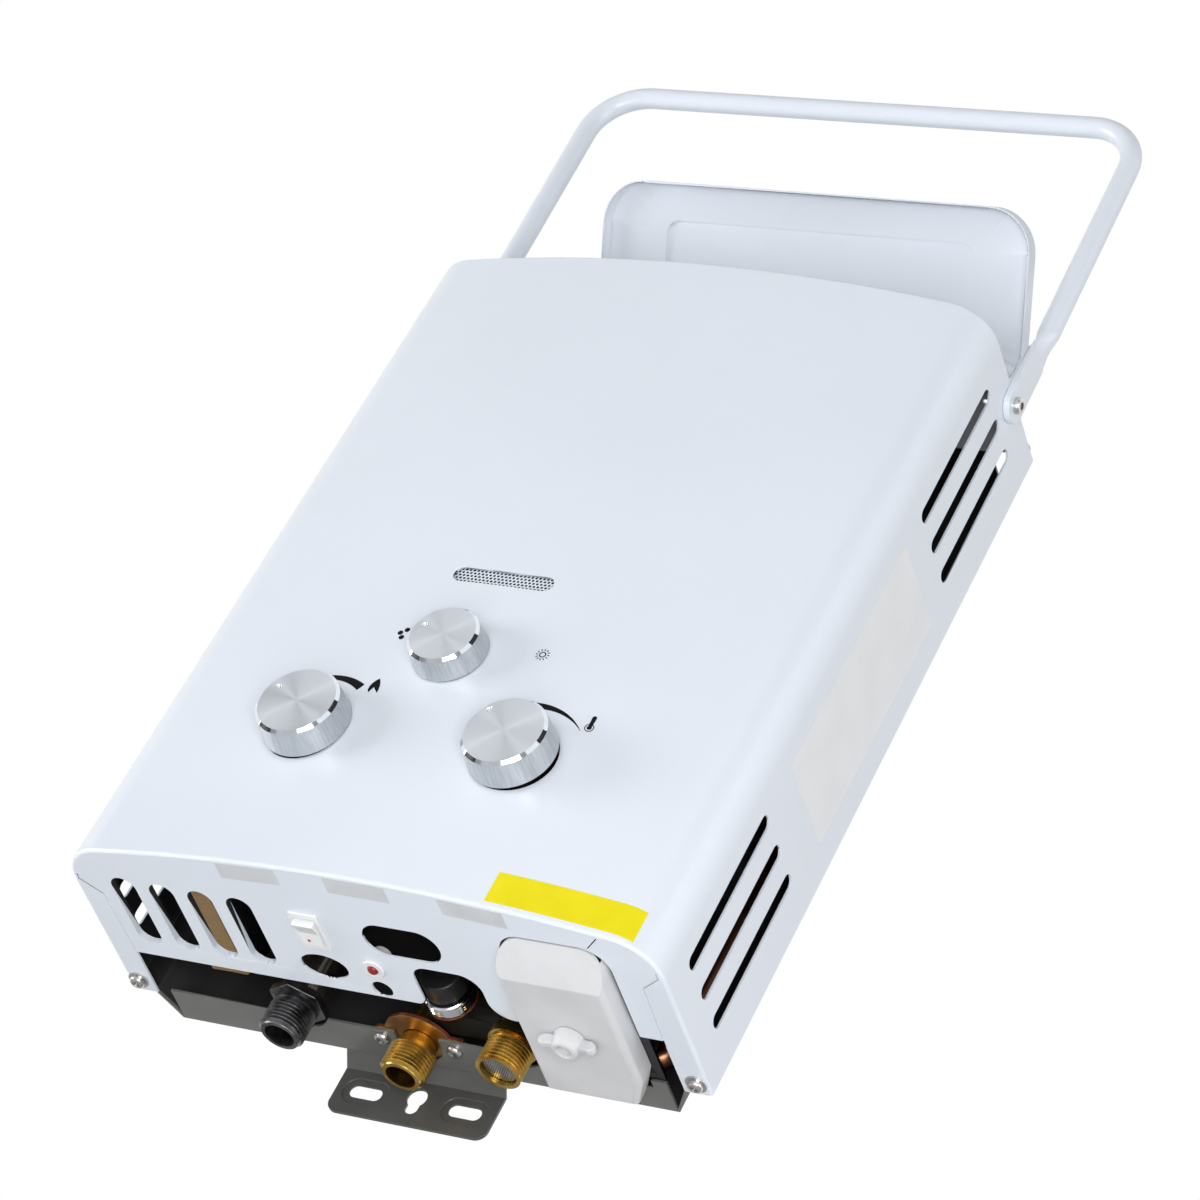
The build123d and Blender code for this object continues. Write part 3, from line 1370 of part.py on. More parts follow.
with BuildPart() as ignition_box:
    with BuildSketch(Plane.XY.offset(up(board_z + board_t))):
        with Locations((ignition_x, rear - ignition_depth)):
            Rectangle(ignition_w, ignition_d)
    extrude(amount=ignition_h)
    fillet(ignition_box.edges().filter_by(Axis.Z), radius=2)
    # foot against the back plate
    with BuildSketch(Plane.XZ.offset(-pan_in)):
        with Locations((ignition_x, up(board_z + ignition_h / 2))):
            Rectangle(0.4 * ignition_w, 20)
    extrude(amount=pan_in - rear)
ignition_box.part.label = "ignition_box"

with BuildPart() as ignition_board:
    with BuildSketch(Plane.XY.offset(up(board_z))):
        with Locations((ignition_x, rear - ignition_depth)):
            Rectangle(ignition_w - 1, ignition_d - 1)
    extrude(amount=board_t)
ignition_board.part.label = "ignition_board"

electrode_z = frame_z1 + electrode_rise
with BuildPart() as electrode_bracket:
    with BuildSketch(facing_front(electrode_x, chamber_y0, up(electrode_z - 5))):
        Rectangle(2 * electrode_pitch + 2, 24)
        with Locations((0, 5)):
            with GridLocations(electrode_pitch, 1, 2, 1):
                Circle(electrode_r + seat, mode=Mode.SUBTRACT)
    extrude(amount=frame_t)
electrode_bracket.part.label = "electrode_bracket"

with BuildPart() as ignition_electrodes:
    with BuildSketch(facing_front(electrode_x, chamber_y0 + 8, up(electrode_z))):
        with GridLocations(electrode_pitch, 1, 2, 1):
            Circle(electrode_r)
    extrude(amount=20)
    with BuildSketch(facing_front(electrode_x, chamber_y0 + 20, up(electrode_z))):
        with GridLocations(electrode_pitch, 1, 2, 1):
            Circle(0.8)
    extrude(amount=12)
ignition_electrodes.part.label = "ignition_electrodes"

with BuildPart() as overheat_thermostat:
    with BuildSketch(Plane.YZ.offset(chamber_w / 2)):
        with Locations((chamber_y, up(shell_z1 - thermostat_drop))):
            Circle(thermostat_r)
    extrude(amount=6)
    with BuildSketch(Plane.YZ.offset(chamber_w / 2)):
        with Locations((chamber_y, up(shell_z1 - thermostat_drop))):
            Rectangle(3 * thermostat_r, thermostat_r)
    extrude(amount=1)
overheat_thermostat.part.label = "overheat_thermostat"

# --- Rocker switch and indicator lamp ------------------------------------------------------
rocker_y = rear - rocker_depth
rocker_z = up(1.8)
button_w = rocker_w - 3.8
button_len = rocker_len - 6.9

with BuildPart() as rocker_housing:
    with BuildSketch(Plane.XY.offset(floor_z)):
        with Locations((rocker_x, rocker_y)):
            RectangleRounded(rocker_w, rocker_len, 1.2)
    extrude(amount=-rocker_flange)
    with BuildSketch(Plane.XY.offset(floor_z)):
        with Locations((rocker_x, rocker_y)):
            Rectangle(rocker_cut_w - 2 * seat, rocker_cut_len - 2 * seat)
    extrude(amount=rocker_body_h)
    with BuildSketch(Plane.XY.offset(floor_z - rocker_flange)):
        with Locations((rocker_x, rocker_y)):
            Rectangle(button_w + 0.6, button_len + 1.4)
    extrude(amount=rocker_flange + 7.5, mode=Mode.SUBTRACT)
    with BuildSketch(Plane.XY.offset(up(rocker_body_h))):
        with Locations((rocker_x, rocker_y)):
            with GridLocations(1, 9, 1, 2):
                Rectangle(0.8, 4.8)
    extrude(amount=7)
rocker_housing.part.label = "rocker_housing"

with BuildPart() as rocker_button:
    angle = radians(rocker_tilt)
    side_view = Plane(
        origin=(rocker_x, rocker_y, rocker_z),
        x_dir=(0, cos(angle), sin(angle)),
        z_dir=(1, 0, 0),
    )
    with BuildSketch(side_view):
        with BuildLine():
            ends_u = button_len / 2
            Polyline(
                (-ends_u, 3.4),
                (ends_u, 3.4),
                (ends_u, -4.9),
                (0, -3.4),
                (-ends_u, -4.9),
                close=True,
            )
        make_face()
    extrude(amount=button_w / 2, both=True)
rocker_button.part.label = "rocker_button"

lamp_y = rear - lamp_depth
with BuildPart() as lamp_holder:
    with BuildSketch(Plane.XY.offset(floor_z)):
        with Locations((lamp_x, lamp_y)):
            Circle(lamp_ring_r)
    extrude(amount=-1.4)
    fillet(lamp_holder.faces().sort_by(Axis.Z)[0].edges(), radius=0.6)
    with BuildSketch(Plane.XY.offset(floor_z)):
        with Locations((lamp_x, lamp_y)):
            Circle(lamp_barrel_r)
    extrude(amount=9)
    with BuildSketch(Plane.XY.offset(floor_z - 2)):
        with Locations((lamp_x, lamp_y)):
            Circle(lamp_lens_r + 0.05)
    extrude(amount=8, mode=Mode.SUBTRACT)
lamp_holder.part.label = "lamp_holder"

with BuildPart() as lamp_lens:
    with BuildSketch(Plane.XY.offset(up(6))):
        with Locations((lamp_x, lamp_y)):
            Circle(lamp_lens_r)
    extrude(amount=-8.6)
    fillet(lamp_lens.faces().sort_by(Axis.Z)[0].edges(), radius=1.6)
lamp_lens.part.label = "lamp_lens"

# --- Battery compartment -------------------------------------------------------------------
lid_x = (lid_x0 + lid_x1) / 2
wing_y = rear - wing_depth
lid_y0 = rear - lid_front
lid_y1 = rear - lid_rear
foot_y1 = rear + lid_tail
foot_top = floor_z - 0.5
lid_low = up(-lid_drop)
cell_ys = (wing_y - cell_pitch / 2, wing_y + cell_pitch / 2)
cell_x = lid_x
box_in_w = 2 * (cell_r + box_play)
box_in_d = cell_pitch + box_in_w
box_top = cell_bottom + cell_h + 3

with BuildPart() as battery_lid:
    with BuildSketch(Plane.YZ.offset(lid_x0)):
        with BuildLine():
            Polyline(
                (lid_y0, up(lid_up)),
                (lid_y0, floor_z),
                (lid_y0 + lid_slope, lid_low),
                (foot_y1, lid_low),
                (foot_y1, foot_top),
                (lid_y1, foot_top),
                (lid_y1, up(lid_up)),
                close=True,
            )
        make_face()
    extrude(amount=lid_w)
    with BuildSketch(Plane.XY.offset(lid_low - 1)):
        with BuildLine():
            Polyline(
                (lid_x1 - lid_bevel_w, foot_y1),
                (lid_x1, foot_y1 - lid_bevel_d),
                (lid_x1 + 1, foot_y1 - lid_bevel_d),
                (lid_x1 + 1, foot_y1 + 1),
                (lid_x1 - lid_bevel_w, foot_y1 + 1),
                close=True,
            )
        make_face()
    extrude(amount=lid_drop + lid_up + 2, mode=Mode.SUBTRACT)
    corners = battery_lid.edges().filter_by(Axis.Z).group_by(Axis.Y)[0]
    fillet(corners, radius=11)
    soft = battery_lid.faces().filter_by(Axis.Z).sort_by(Axis.Z)[0].edges()
    fillet(soft, radius=3)
    with BuildSketch(Plane.YZ.offset(lid_x0 + lid_wall)):
        with BuildLine():
            Polyline(
                (lid_y0 + lid_wall, up(lid_up)),
                (lid_y0 + lid_wall, floor_z + 0.6),
                (lid_y0 + lid_slope + 0.8, lid_low + lid_wall),
                (lid_y1 - lid_wall, lid_low + lid_wall),
                (lid_y1 - lid_wall, up(lid_up)),
                close=True,
            )
        make_face()
    extrude(amount=cell_x + cell_r + 2 * box_play - lid_x0 - lid_wall, mode=Mode.SUBTRACT)
    with BuildSketch(Plane.YZ.offset(lid_x1 - lid_wall - lid_bevel_w - 1)):
        with BuildLine():
            Polyline(
                (lid_y0 + lid_wall, up(lid_up)),
                (lid_y0 + lid_wall, floor_z + 0.6),
                (lid_y0 + lid_slope + 0.8, lid_low + lid_wall),
                (foot_y1 - lid_bevel_d - lid_wall, lid_low + lid_wall),
                (foot_y1 - lid_bevel_d - lid_wall, up(lid_up)),
                close=True,
            )
        make_face()
    extrude(amount=lid_bevel_w + 1, mode=Mode.SUBTRACT)
    with BuildSketch(Plane.XY.offset(lid_low)):
        with Locations((lid_x, wing_y)):
            Circle(screw_r + fit)
    extrude(amount=lid_wall + 1, mode=Mode.SUBTRACT)
battery_lid.part.label = "battery_lid"

with BuildPart() as lid_wing_screw:
    with BuildSketch(Plane.XY.offset(lid_low - 0.3)):
        with Locations((lid_x, wing_y)):
            Circle(wing_r)
    extrude(amount=-wing_h)
    with BuildSketch(Plane.XY.offset(lid_low - 0.3)):
        with Locations((lid_x, wing_y)):
            SlotOverall(wing_span, 4.5)
    extrude(amount=-wing_h + 1.2)
    fillet(lid_wing_screw.faces().sort_by(Axis.Z)[0].edges(), radius=1)
    with BuildSketch(Plane.XY.offset(lid_low - 0.3 - wing_h)):
        with Locations((lid_x, wing_y)):
            Circle(2.8)
    extrude(amount=1.5, mode=Mode.SUBTRACT)
    with BuildSketch(Plane.XY.offset(lid_low - 0.3)):
        with Locations((lid_x, wing_y)):
            Circle(screw_r)
    extrude(amount=lid_drop + 0.3 + 12)
lid_wing_screw.part.label = "lid_wing_screw"

box_low = sheet
with BuildPart() as battery_box:
    with BuildSketch(Plane.XY.offset(up(box_low))):
        with Locations((cell_x, wing_y)):
            RectangleRounded(box_in_w + 2 * box_wall, box_in_d + 2 * box_wall, 6)
    extrude(amount=box_top - box_low + box_wall)
    with BuildSketch(Plane.XY.offset(up(box_low))):
        with Locations((cell_x, wing_y)):
            with GridLocations(1, cell_pitch, 1, 2):
                Circle(cell_r + box_play)
            Rectangle(2 * cell_r - 8, cell_pitch)
    extrude(amount=box_top - box_low, mode=Mode.SUBTRACT)
    with BuildSketch(Plane.XY.offset(up(box_low))):
        with Locations((cell_x, wing_y)):
            Circle(screw_r + fit + boss_wall)
            Rectangle(2 * cell_r - 4, 1.6)
            Circle(screw_r + fit, mode=Mode.SUBTRACT)
    extrude(amount=14)
    # flange that rests on the bottom panel round the cut-out
    with BuildSketch(Plane.XY.offset(up(sheet))):
        with Locations(((cut_x0 + cut_x1) / 2, rear - (cut_front + box_lip + box_rear) / 2)):
            Rectangle(cut_x1 - cut_x0 + 2 * box_lip, cut_front + box_lip - box_rear)
        with Locations((cell_x, wing_y)):
            RectangleRounded(box_in_w, box_in_d, 5, mode=Mode.SUBTRACT)
    extrude(amount=box_flange)
battery_box.part.label = "battery_box"

with BuildPart() as battery_cells:
    for y, way in zip(cell_ys, (1, -1)):
        with BuildSketch(Plane.XY.offset(up(cell_bottom))):
            with Locations((cell_x, y)):
                Circle(cell_r)
        extrude(amount=cell_h - 1.5)
        with BuildSketch(Plane.XY.offset(up(cell_bottom + cell_h - 1.5))):
            with Locations((cell_x, y)):
                Circle(4.8)
        extrude(amount=1.5)
battery_cells.part.label = "battery_cells"

with BuildPart() as box_contacts:
    with BuildSketch(Plane.XY.offset(up(cell_bottom + cell_h + 0.2))):
        with Locations((cell_x, wing_y)):
            with GridLocations(1, cell_pitch, 1, 2):
                Circle(7)
    extrude(amount=box_top - cell_bottom - cell_h - 0.2)
box_contacts.part.label = "box_contacts"

with BuildPart() as lid_contacts:
    with BuildSketch(Plane.XY.offset(lid_low + lid_wall)):
        with Locations((cell_x, wing_y)):
            Rectangle(14, cell_pitch + 8)
            Circle(screw_r + 1, mode=Mode.SUBTRACT)
    extrude(amount=0.6)
    for y in cell_ys:
        with BuildSketch(Plane.XY.offset(lid_low + lid_wall + 0.6)):
            with Locations((cell_x, y)):
                Circle(6)
        with BuildSketch(Plane.XY.offset(up(cell_bottom) - 0.3)):
            with Locations((cell_x, y)):
                Circle(3.5)
        loft()
lid_contacts.part.label = "lid_contacts"

# --- Write one STEP file for each piece ----------------------------------------------------
pieces = [
    front_cover.part, back_plate.part, lower_wall_bracket.part, upper_wall_bracket.part,
    handle.part, handle_screws.part, handle_nuts.part,
    rain_cap.part, rain_cap_bracket.part, cap_screws.part, cover_screws.part, window_mesh.part,
    fire_knob, water_knob, season_knob, fire_stem, water_stem, season_stem,
    gas_manifold.part, burner_frame.part, burner_blades.part,
    heat_exchanger_shell.part, heat_exchanger_fins.part, exhaust_hood.part,
    cold_pipe.part, heat_exchanger_pipe.part, hot_pipe.part,
    gas_inlet.part, gas_valve_body.part, gas_solenoid.part,
    water_inlet.part, inlet_filter.part, water_valve_body.part, valve_diaphragm.part,
    water_valve_cover.part, push_rod.part, drain_plug_body.part, drain_plug_cap.part,
    water_outlet.part, outlet_flange.part, flange_screws.part,
    microswitch.part, microswitch_lever.part, switch_bracket.part,
    ignition_box.part, ignition_board.part, electrode_bracket.part, ignition_electrodes.part,
    overheat_thermostat.part, rocker_housing.part, rocker_button.part,
    lamp_holder.part, lamp_lens.part,
    battery_lid.part, lid_wing_screw.part, battery_box.part, battery_cells.part,
    box_contacts.part, lid_contacts.part,
]
for piece in pieces:
    export_step(piece, f"parts/{piece.label}.step")
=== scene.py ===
"""Finish of a wall-hung gas water heater: enamel, metals, threads, screws, prints and stage."""

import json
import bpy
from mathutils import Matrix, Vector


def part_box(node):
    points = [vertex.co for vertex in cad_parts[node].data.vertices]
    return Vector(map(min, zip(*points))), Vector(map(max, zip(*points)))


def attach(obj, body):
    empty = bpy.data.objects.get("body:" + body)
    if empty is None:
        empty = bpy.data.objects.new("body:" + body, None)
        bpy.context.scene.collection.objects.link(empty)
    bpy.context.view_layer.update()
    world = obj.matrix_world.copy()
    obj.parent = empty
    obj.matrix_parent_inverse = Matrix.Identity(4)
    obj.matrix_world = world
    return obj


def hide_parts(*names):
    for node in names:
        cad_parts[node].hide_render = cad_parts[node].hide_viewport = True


bl_info = {
    "name": "Water Heater Finish",
    "version": (1, 0, 0),
    "blender": (4, 5, 0),
    "location": "View3D > Sidebar > Water Heater",
    "description": "Dresses the packed water heater with its enamel, metals, threads, screws and prints",
    "category": "Object",
}

from math import cos, pi, radians, sin, sqrt

import bmesh
import bpy
from bpy.props import FloatProperty, FloatVectorProperty, PointerProperty
from mathutils import Matrix, Vector
from mathutils.bvhtree import BVHTree

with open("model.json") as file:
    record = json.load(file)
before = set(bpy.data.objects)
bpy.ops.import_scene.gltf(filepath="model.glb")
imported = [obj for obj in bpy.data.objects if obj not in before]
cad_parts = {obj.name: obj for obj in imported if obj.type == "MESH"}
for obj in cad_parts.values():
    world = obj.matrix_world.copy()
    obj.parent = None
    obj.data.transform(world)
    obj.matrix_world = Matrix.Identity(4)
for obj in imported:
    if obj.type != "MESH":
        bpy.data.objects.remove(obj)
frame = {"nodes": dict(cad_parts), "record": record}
MM = 0.001
# The heater's own sizes, in millimetres
REAR = -25.5            # rear edge of the cover
FLOOR = 15.0            # outer face of the bottom panel
TOP = 393.0             # outer face of the top panel
HALF = 145.0            # half the width of the cover
CORNER = 23.0           # radius of the cover's upright corners
CORNER_Y = REAR - 74    # where the cover's flat sides end
CROWN = 760.0           # radius of the cover's crowned front
AHEAD = -120            # a place in front of the cover, that prints are laid from
FIRE_X = -54.3          # axis of the fire knob, across
WATER_X = 47.9          # axis of the water knob, across
KNOB_Z = FLOOR + 78     # height of both
GAS = (-55.0, REAR - 10)    # axis of the gas fitting
COLD = (53.0, REAR - 10)    # axis of the cold water fitting
HOT = (2.5, REAR + 1.9)     # axis of the hot water fitting
CREST = 10.48           # radius over the fittings' threads
FLANGE_REACH = 18.15    # outlet flange: axis to screw
COVER_SCREW_X = 139.5   # cover screws: from the middle
COVER_SCREW_DEPTH = 7   # cover screws: forward of the rear edge
BODY_OF = {node: body for body, nodes in frame["record"]["behaviour"]["bodies"].items() for node in nodes}


# --- Sizes and colours a user would change -------------------------------------------------
class EnamelSettings(bpy.types.PropertyGroup):
    """Painted and pressed steel."""

    cover: FloatVectorProperty(
        name="Cover", description="White enamel of the cover, handle and rain cap",
        subtype="COLOR", default=(0.745, 0.795, 0.872), min=0, max=1,
    )
    # Inside: painted shade, a near-black colour for the cover's and back plate's inner faces, where shade
    # falls
    inside: FloatVectorProperty(
        name="Inside", description="Dark primer inside the cover",
        subtype="COLOR", default=(0.018, 0.018, 0.020), min=0, max=1,
    )
    plate: FloatVectorProperty(
        name="Plate", description="Grey paint of the back plate and the wall brackets",
        subtype="COLOR", default=(0.170, 0.171, 0.164), min=0, max=1,
    )
    edge: FloatProperty(
        name="Edge", description="Width that the wall brackets' softened edges start from",
        subtype="DISTANCE", default=0.0004, min=0, max=0.001,
    )


class KnobSettings(bpy.types.PropertyGroup):
    """Turned control knobs."""

    metal: FloatVectorProperty(
        name="Metal", description="Brushed aluminium of the knobs",
        subtype="COLOR", default=(0.62, 0.66, 0.70), min=0, max=1,
    )
    dimple: FloatProperty(
        name="Dimple", description="Radius of the index dimple",
        subtype="DISTANCE", default=0.0013, min=0.0005, max=0.002,
    )


class FittingSettings(bpy.types.PropertyGroup):
    """Threaded gas and water fittings."""

    pitch: FloatProperty(
        name="Pitch", description="Rise of the thread for each turn",
        subtype="DISTANCE", default=0.001814, min=0.001, max=0.003,
    )
    depth: FloatProperty(
        name="Depth", description="Depth of the thread",
        subtype="DISTANCE", default=0.00116, min=0.0005, max=0.002,
    )
    hole_pitch: FloatProperty(
        name="Hole Pitch", description="Spacing of the holes in the viewing window's mesh",
        subtype="DISTANCE", default=0.00195, min=0.001, max=0.004,
    )


class StageSettings(bpy.types.PropertyGroup):
    """Studio light and floor."""

    sky: FloatProperty(
        name="Sky", description="Even light from all around", default=0.30, min=0, max=2,
    )
    key: FloatProperty(
        name="Key", description="Power of the lamp beside the camera",
        subtype="POWER", default=39, min=0, max=200,
    )
    left: FloatProperty(
        name="Left", description="Power of the lamp on the left",
        subtype="POWER", default=25, min=0, max=200,
    )
    right: FloatProperty(
        name="Right", description="Power of the lamp on the right",
        subtype="POWER", default=8, min=0, max=200,
    )
    low: FloatProperty(
        name="Low", description="Power of the lamp below",
        subtype="POWER", default=8, min=0, max=200,
    )
    floor: FloatProperty(
        name="Floor", description="Height of the floor below the wall bracket",
        subtype="DISTANCE", default=-1.25, min=-3, max=-0.1,
    )


# --- Materials -----------------------------------------------------------------------------
def finish_of(name, colour, rough, metallic=0.0, **extra):
    """A Principled material, with its nodes, that later calls add texture to."""
    material = bpy.data.materials.new(name)
    material.use_nodes = True
    shader = material.node_tree.nodes["Principled BSDF"]
    shader.inputs["Base Color"].default_value = (*colour, 1)
    shader.inputs["Roughness"].default_value = rough
    shader.inputs["Metallic"].default_value = metallic
    for socket, value in extra.items():
        shader.inputs[socket.replace("_", " ")].default_value = value
    return material


def add(tree, kind, *given, **named):
    """A new node. Inputs are given in order or by name: a socket is linked, any other value is set."""
    node = tree.nodes.new(kind)
    inputs = list(zip(node.inputs, given))
    inputs += [(node.inputs[name.replace("_", " ")], value) for name, value in named.items()]
    for socket, value in inputs:
        if isinstance(value, bpy.types.NodeSocket):
            tree.links.new(value, socket)
        else:
            socket.default_value = value
    return node


def maths(tree, operation, a, b):
    """Result of a calculation with two values, each a number or a socket."""
    node = add(tree, "ShaderNodeMath", a, b)
    node.operation = operation
    return node.outputs[0]


def noise_of(material, scale, stretch=(1, 1, 1), detail=2):
    """Noise on Object coordinates, stretched along the axes."""
    tree = material.node_tree
    coords = add(tree, "ShaderNodeTexCoord")
    place = add(tree, "ShaderNodeMapping", Vector=coords.outputs["Object"], Scale=stretch)
    noise = add(tree, "ShaderNodeTexNoise", Vector=place.outputs["Vector"], Scale=scale, Detail=detail)
    return noise.outputs["Fac"]


def lead(material, socket, output):
    """Lead an output to one socket of the material's shader."""
    material.node_tree.links.new(output, material.node_tree.nodes["Principled BSDF"].inputs[socket])
    return material


def bumped(material, height, strength, distance):
    """Lead a height to the shader as a bump."""
    bump = add(material.node_tree, "ShaderNodeBump", Height=height, Strength=strength, Distance=distance)
    return lead(material, "Normal", bump.outputs["Normal"])


def two_tones(material, value, dark, light, low, high):
    """Lead a colour between two tones to the shader."""
    ramp = add(material.node_tree, "ShaderNodeValToRGB", Fac=value)
    for stop, place, tone in zip(ramp.color_ramp.elements, (low, high), (dark, light)):
        stop.position = place
        stop.color = (*tone, 1)
    return lead(material, "Base Color", ramp.outputs["Color"])


def patchy_gloss(material, low, high, scale):
    """Roughness that varies gently over the surface."""
    spread = add(material.node_tree, "ShaderNodeMapRange", Value=noise_of(material, scale),
                 To_Min=low, To_Max=high)
    return lead(material, "Roughness", spread.outputs["Result"])


def painted(name, colour, rough, metallic, dark, light, spots, skin,
            stretch=(1, 1, 1), detail=4, skin_stretch=(1, 1, 1), gloss=(), **extra):
    """A finish whose colour wanders between two tones, as fine as the spots' scale.
    Skin is the bump's scale, strength and, if not a tenth of a millimetre, its distance in metres."""
    material = finish_of(name, colour, rough, metallic, **extra)
    two_tones(material, noise_of(material, spots, stretch, detail), dark, light, 0.35, 0.65)
    scale, strength, distance = (*skin, 0.0001)[:3]
    bumped(material, noise_of(material, scale, skin_stretch, 3), strength, distance)
    if gloss:
        patchy_gloss(material, *gloss)
    return material


def brushed_by_turning(material, scale, dark, light, strength):
    """Fan-shaped highlights and fine lines of turned metal, along the piece's own UV map."""
    tree = material.node_tree
    tangent = add(tree, "ShaderNodeTangent")
    tangent.direction_type = "UV_MAP"
    tangent.uv_map = "turned"
    lead(material, "Tangent", tangent.outputs["Tangent"])
    coords = add(tree, "ShaderNodeUVMap")
    coords.uv_map = "turned"
    place = add(tree, "ShaderNodeMapping", Vector=coords.outputs["UV"], Scale=scale)
    noise = add(tree, "ShaderNodeTexNoise", Vector=place.outputs["Vector"], Scale=1, Detail=2)
    two_tones(material, noise.outputs["Fac"], dark, light, 0.3, 0.7)
    return bumped(material, noise.outputs["Fac"], strength, 0.00002)


def shade(colour, by):
    """The same colour, darker or lighter."""
    return tuple(min(1.0, c * by) for c in colour)


FINISHES = {}


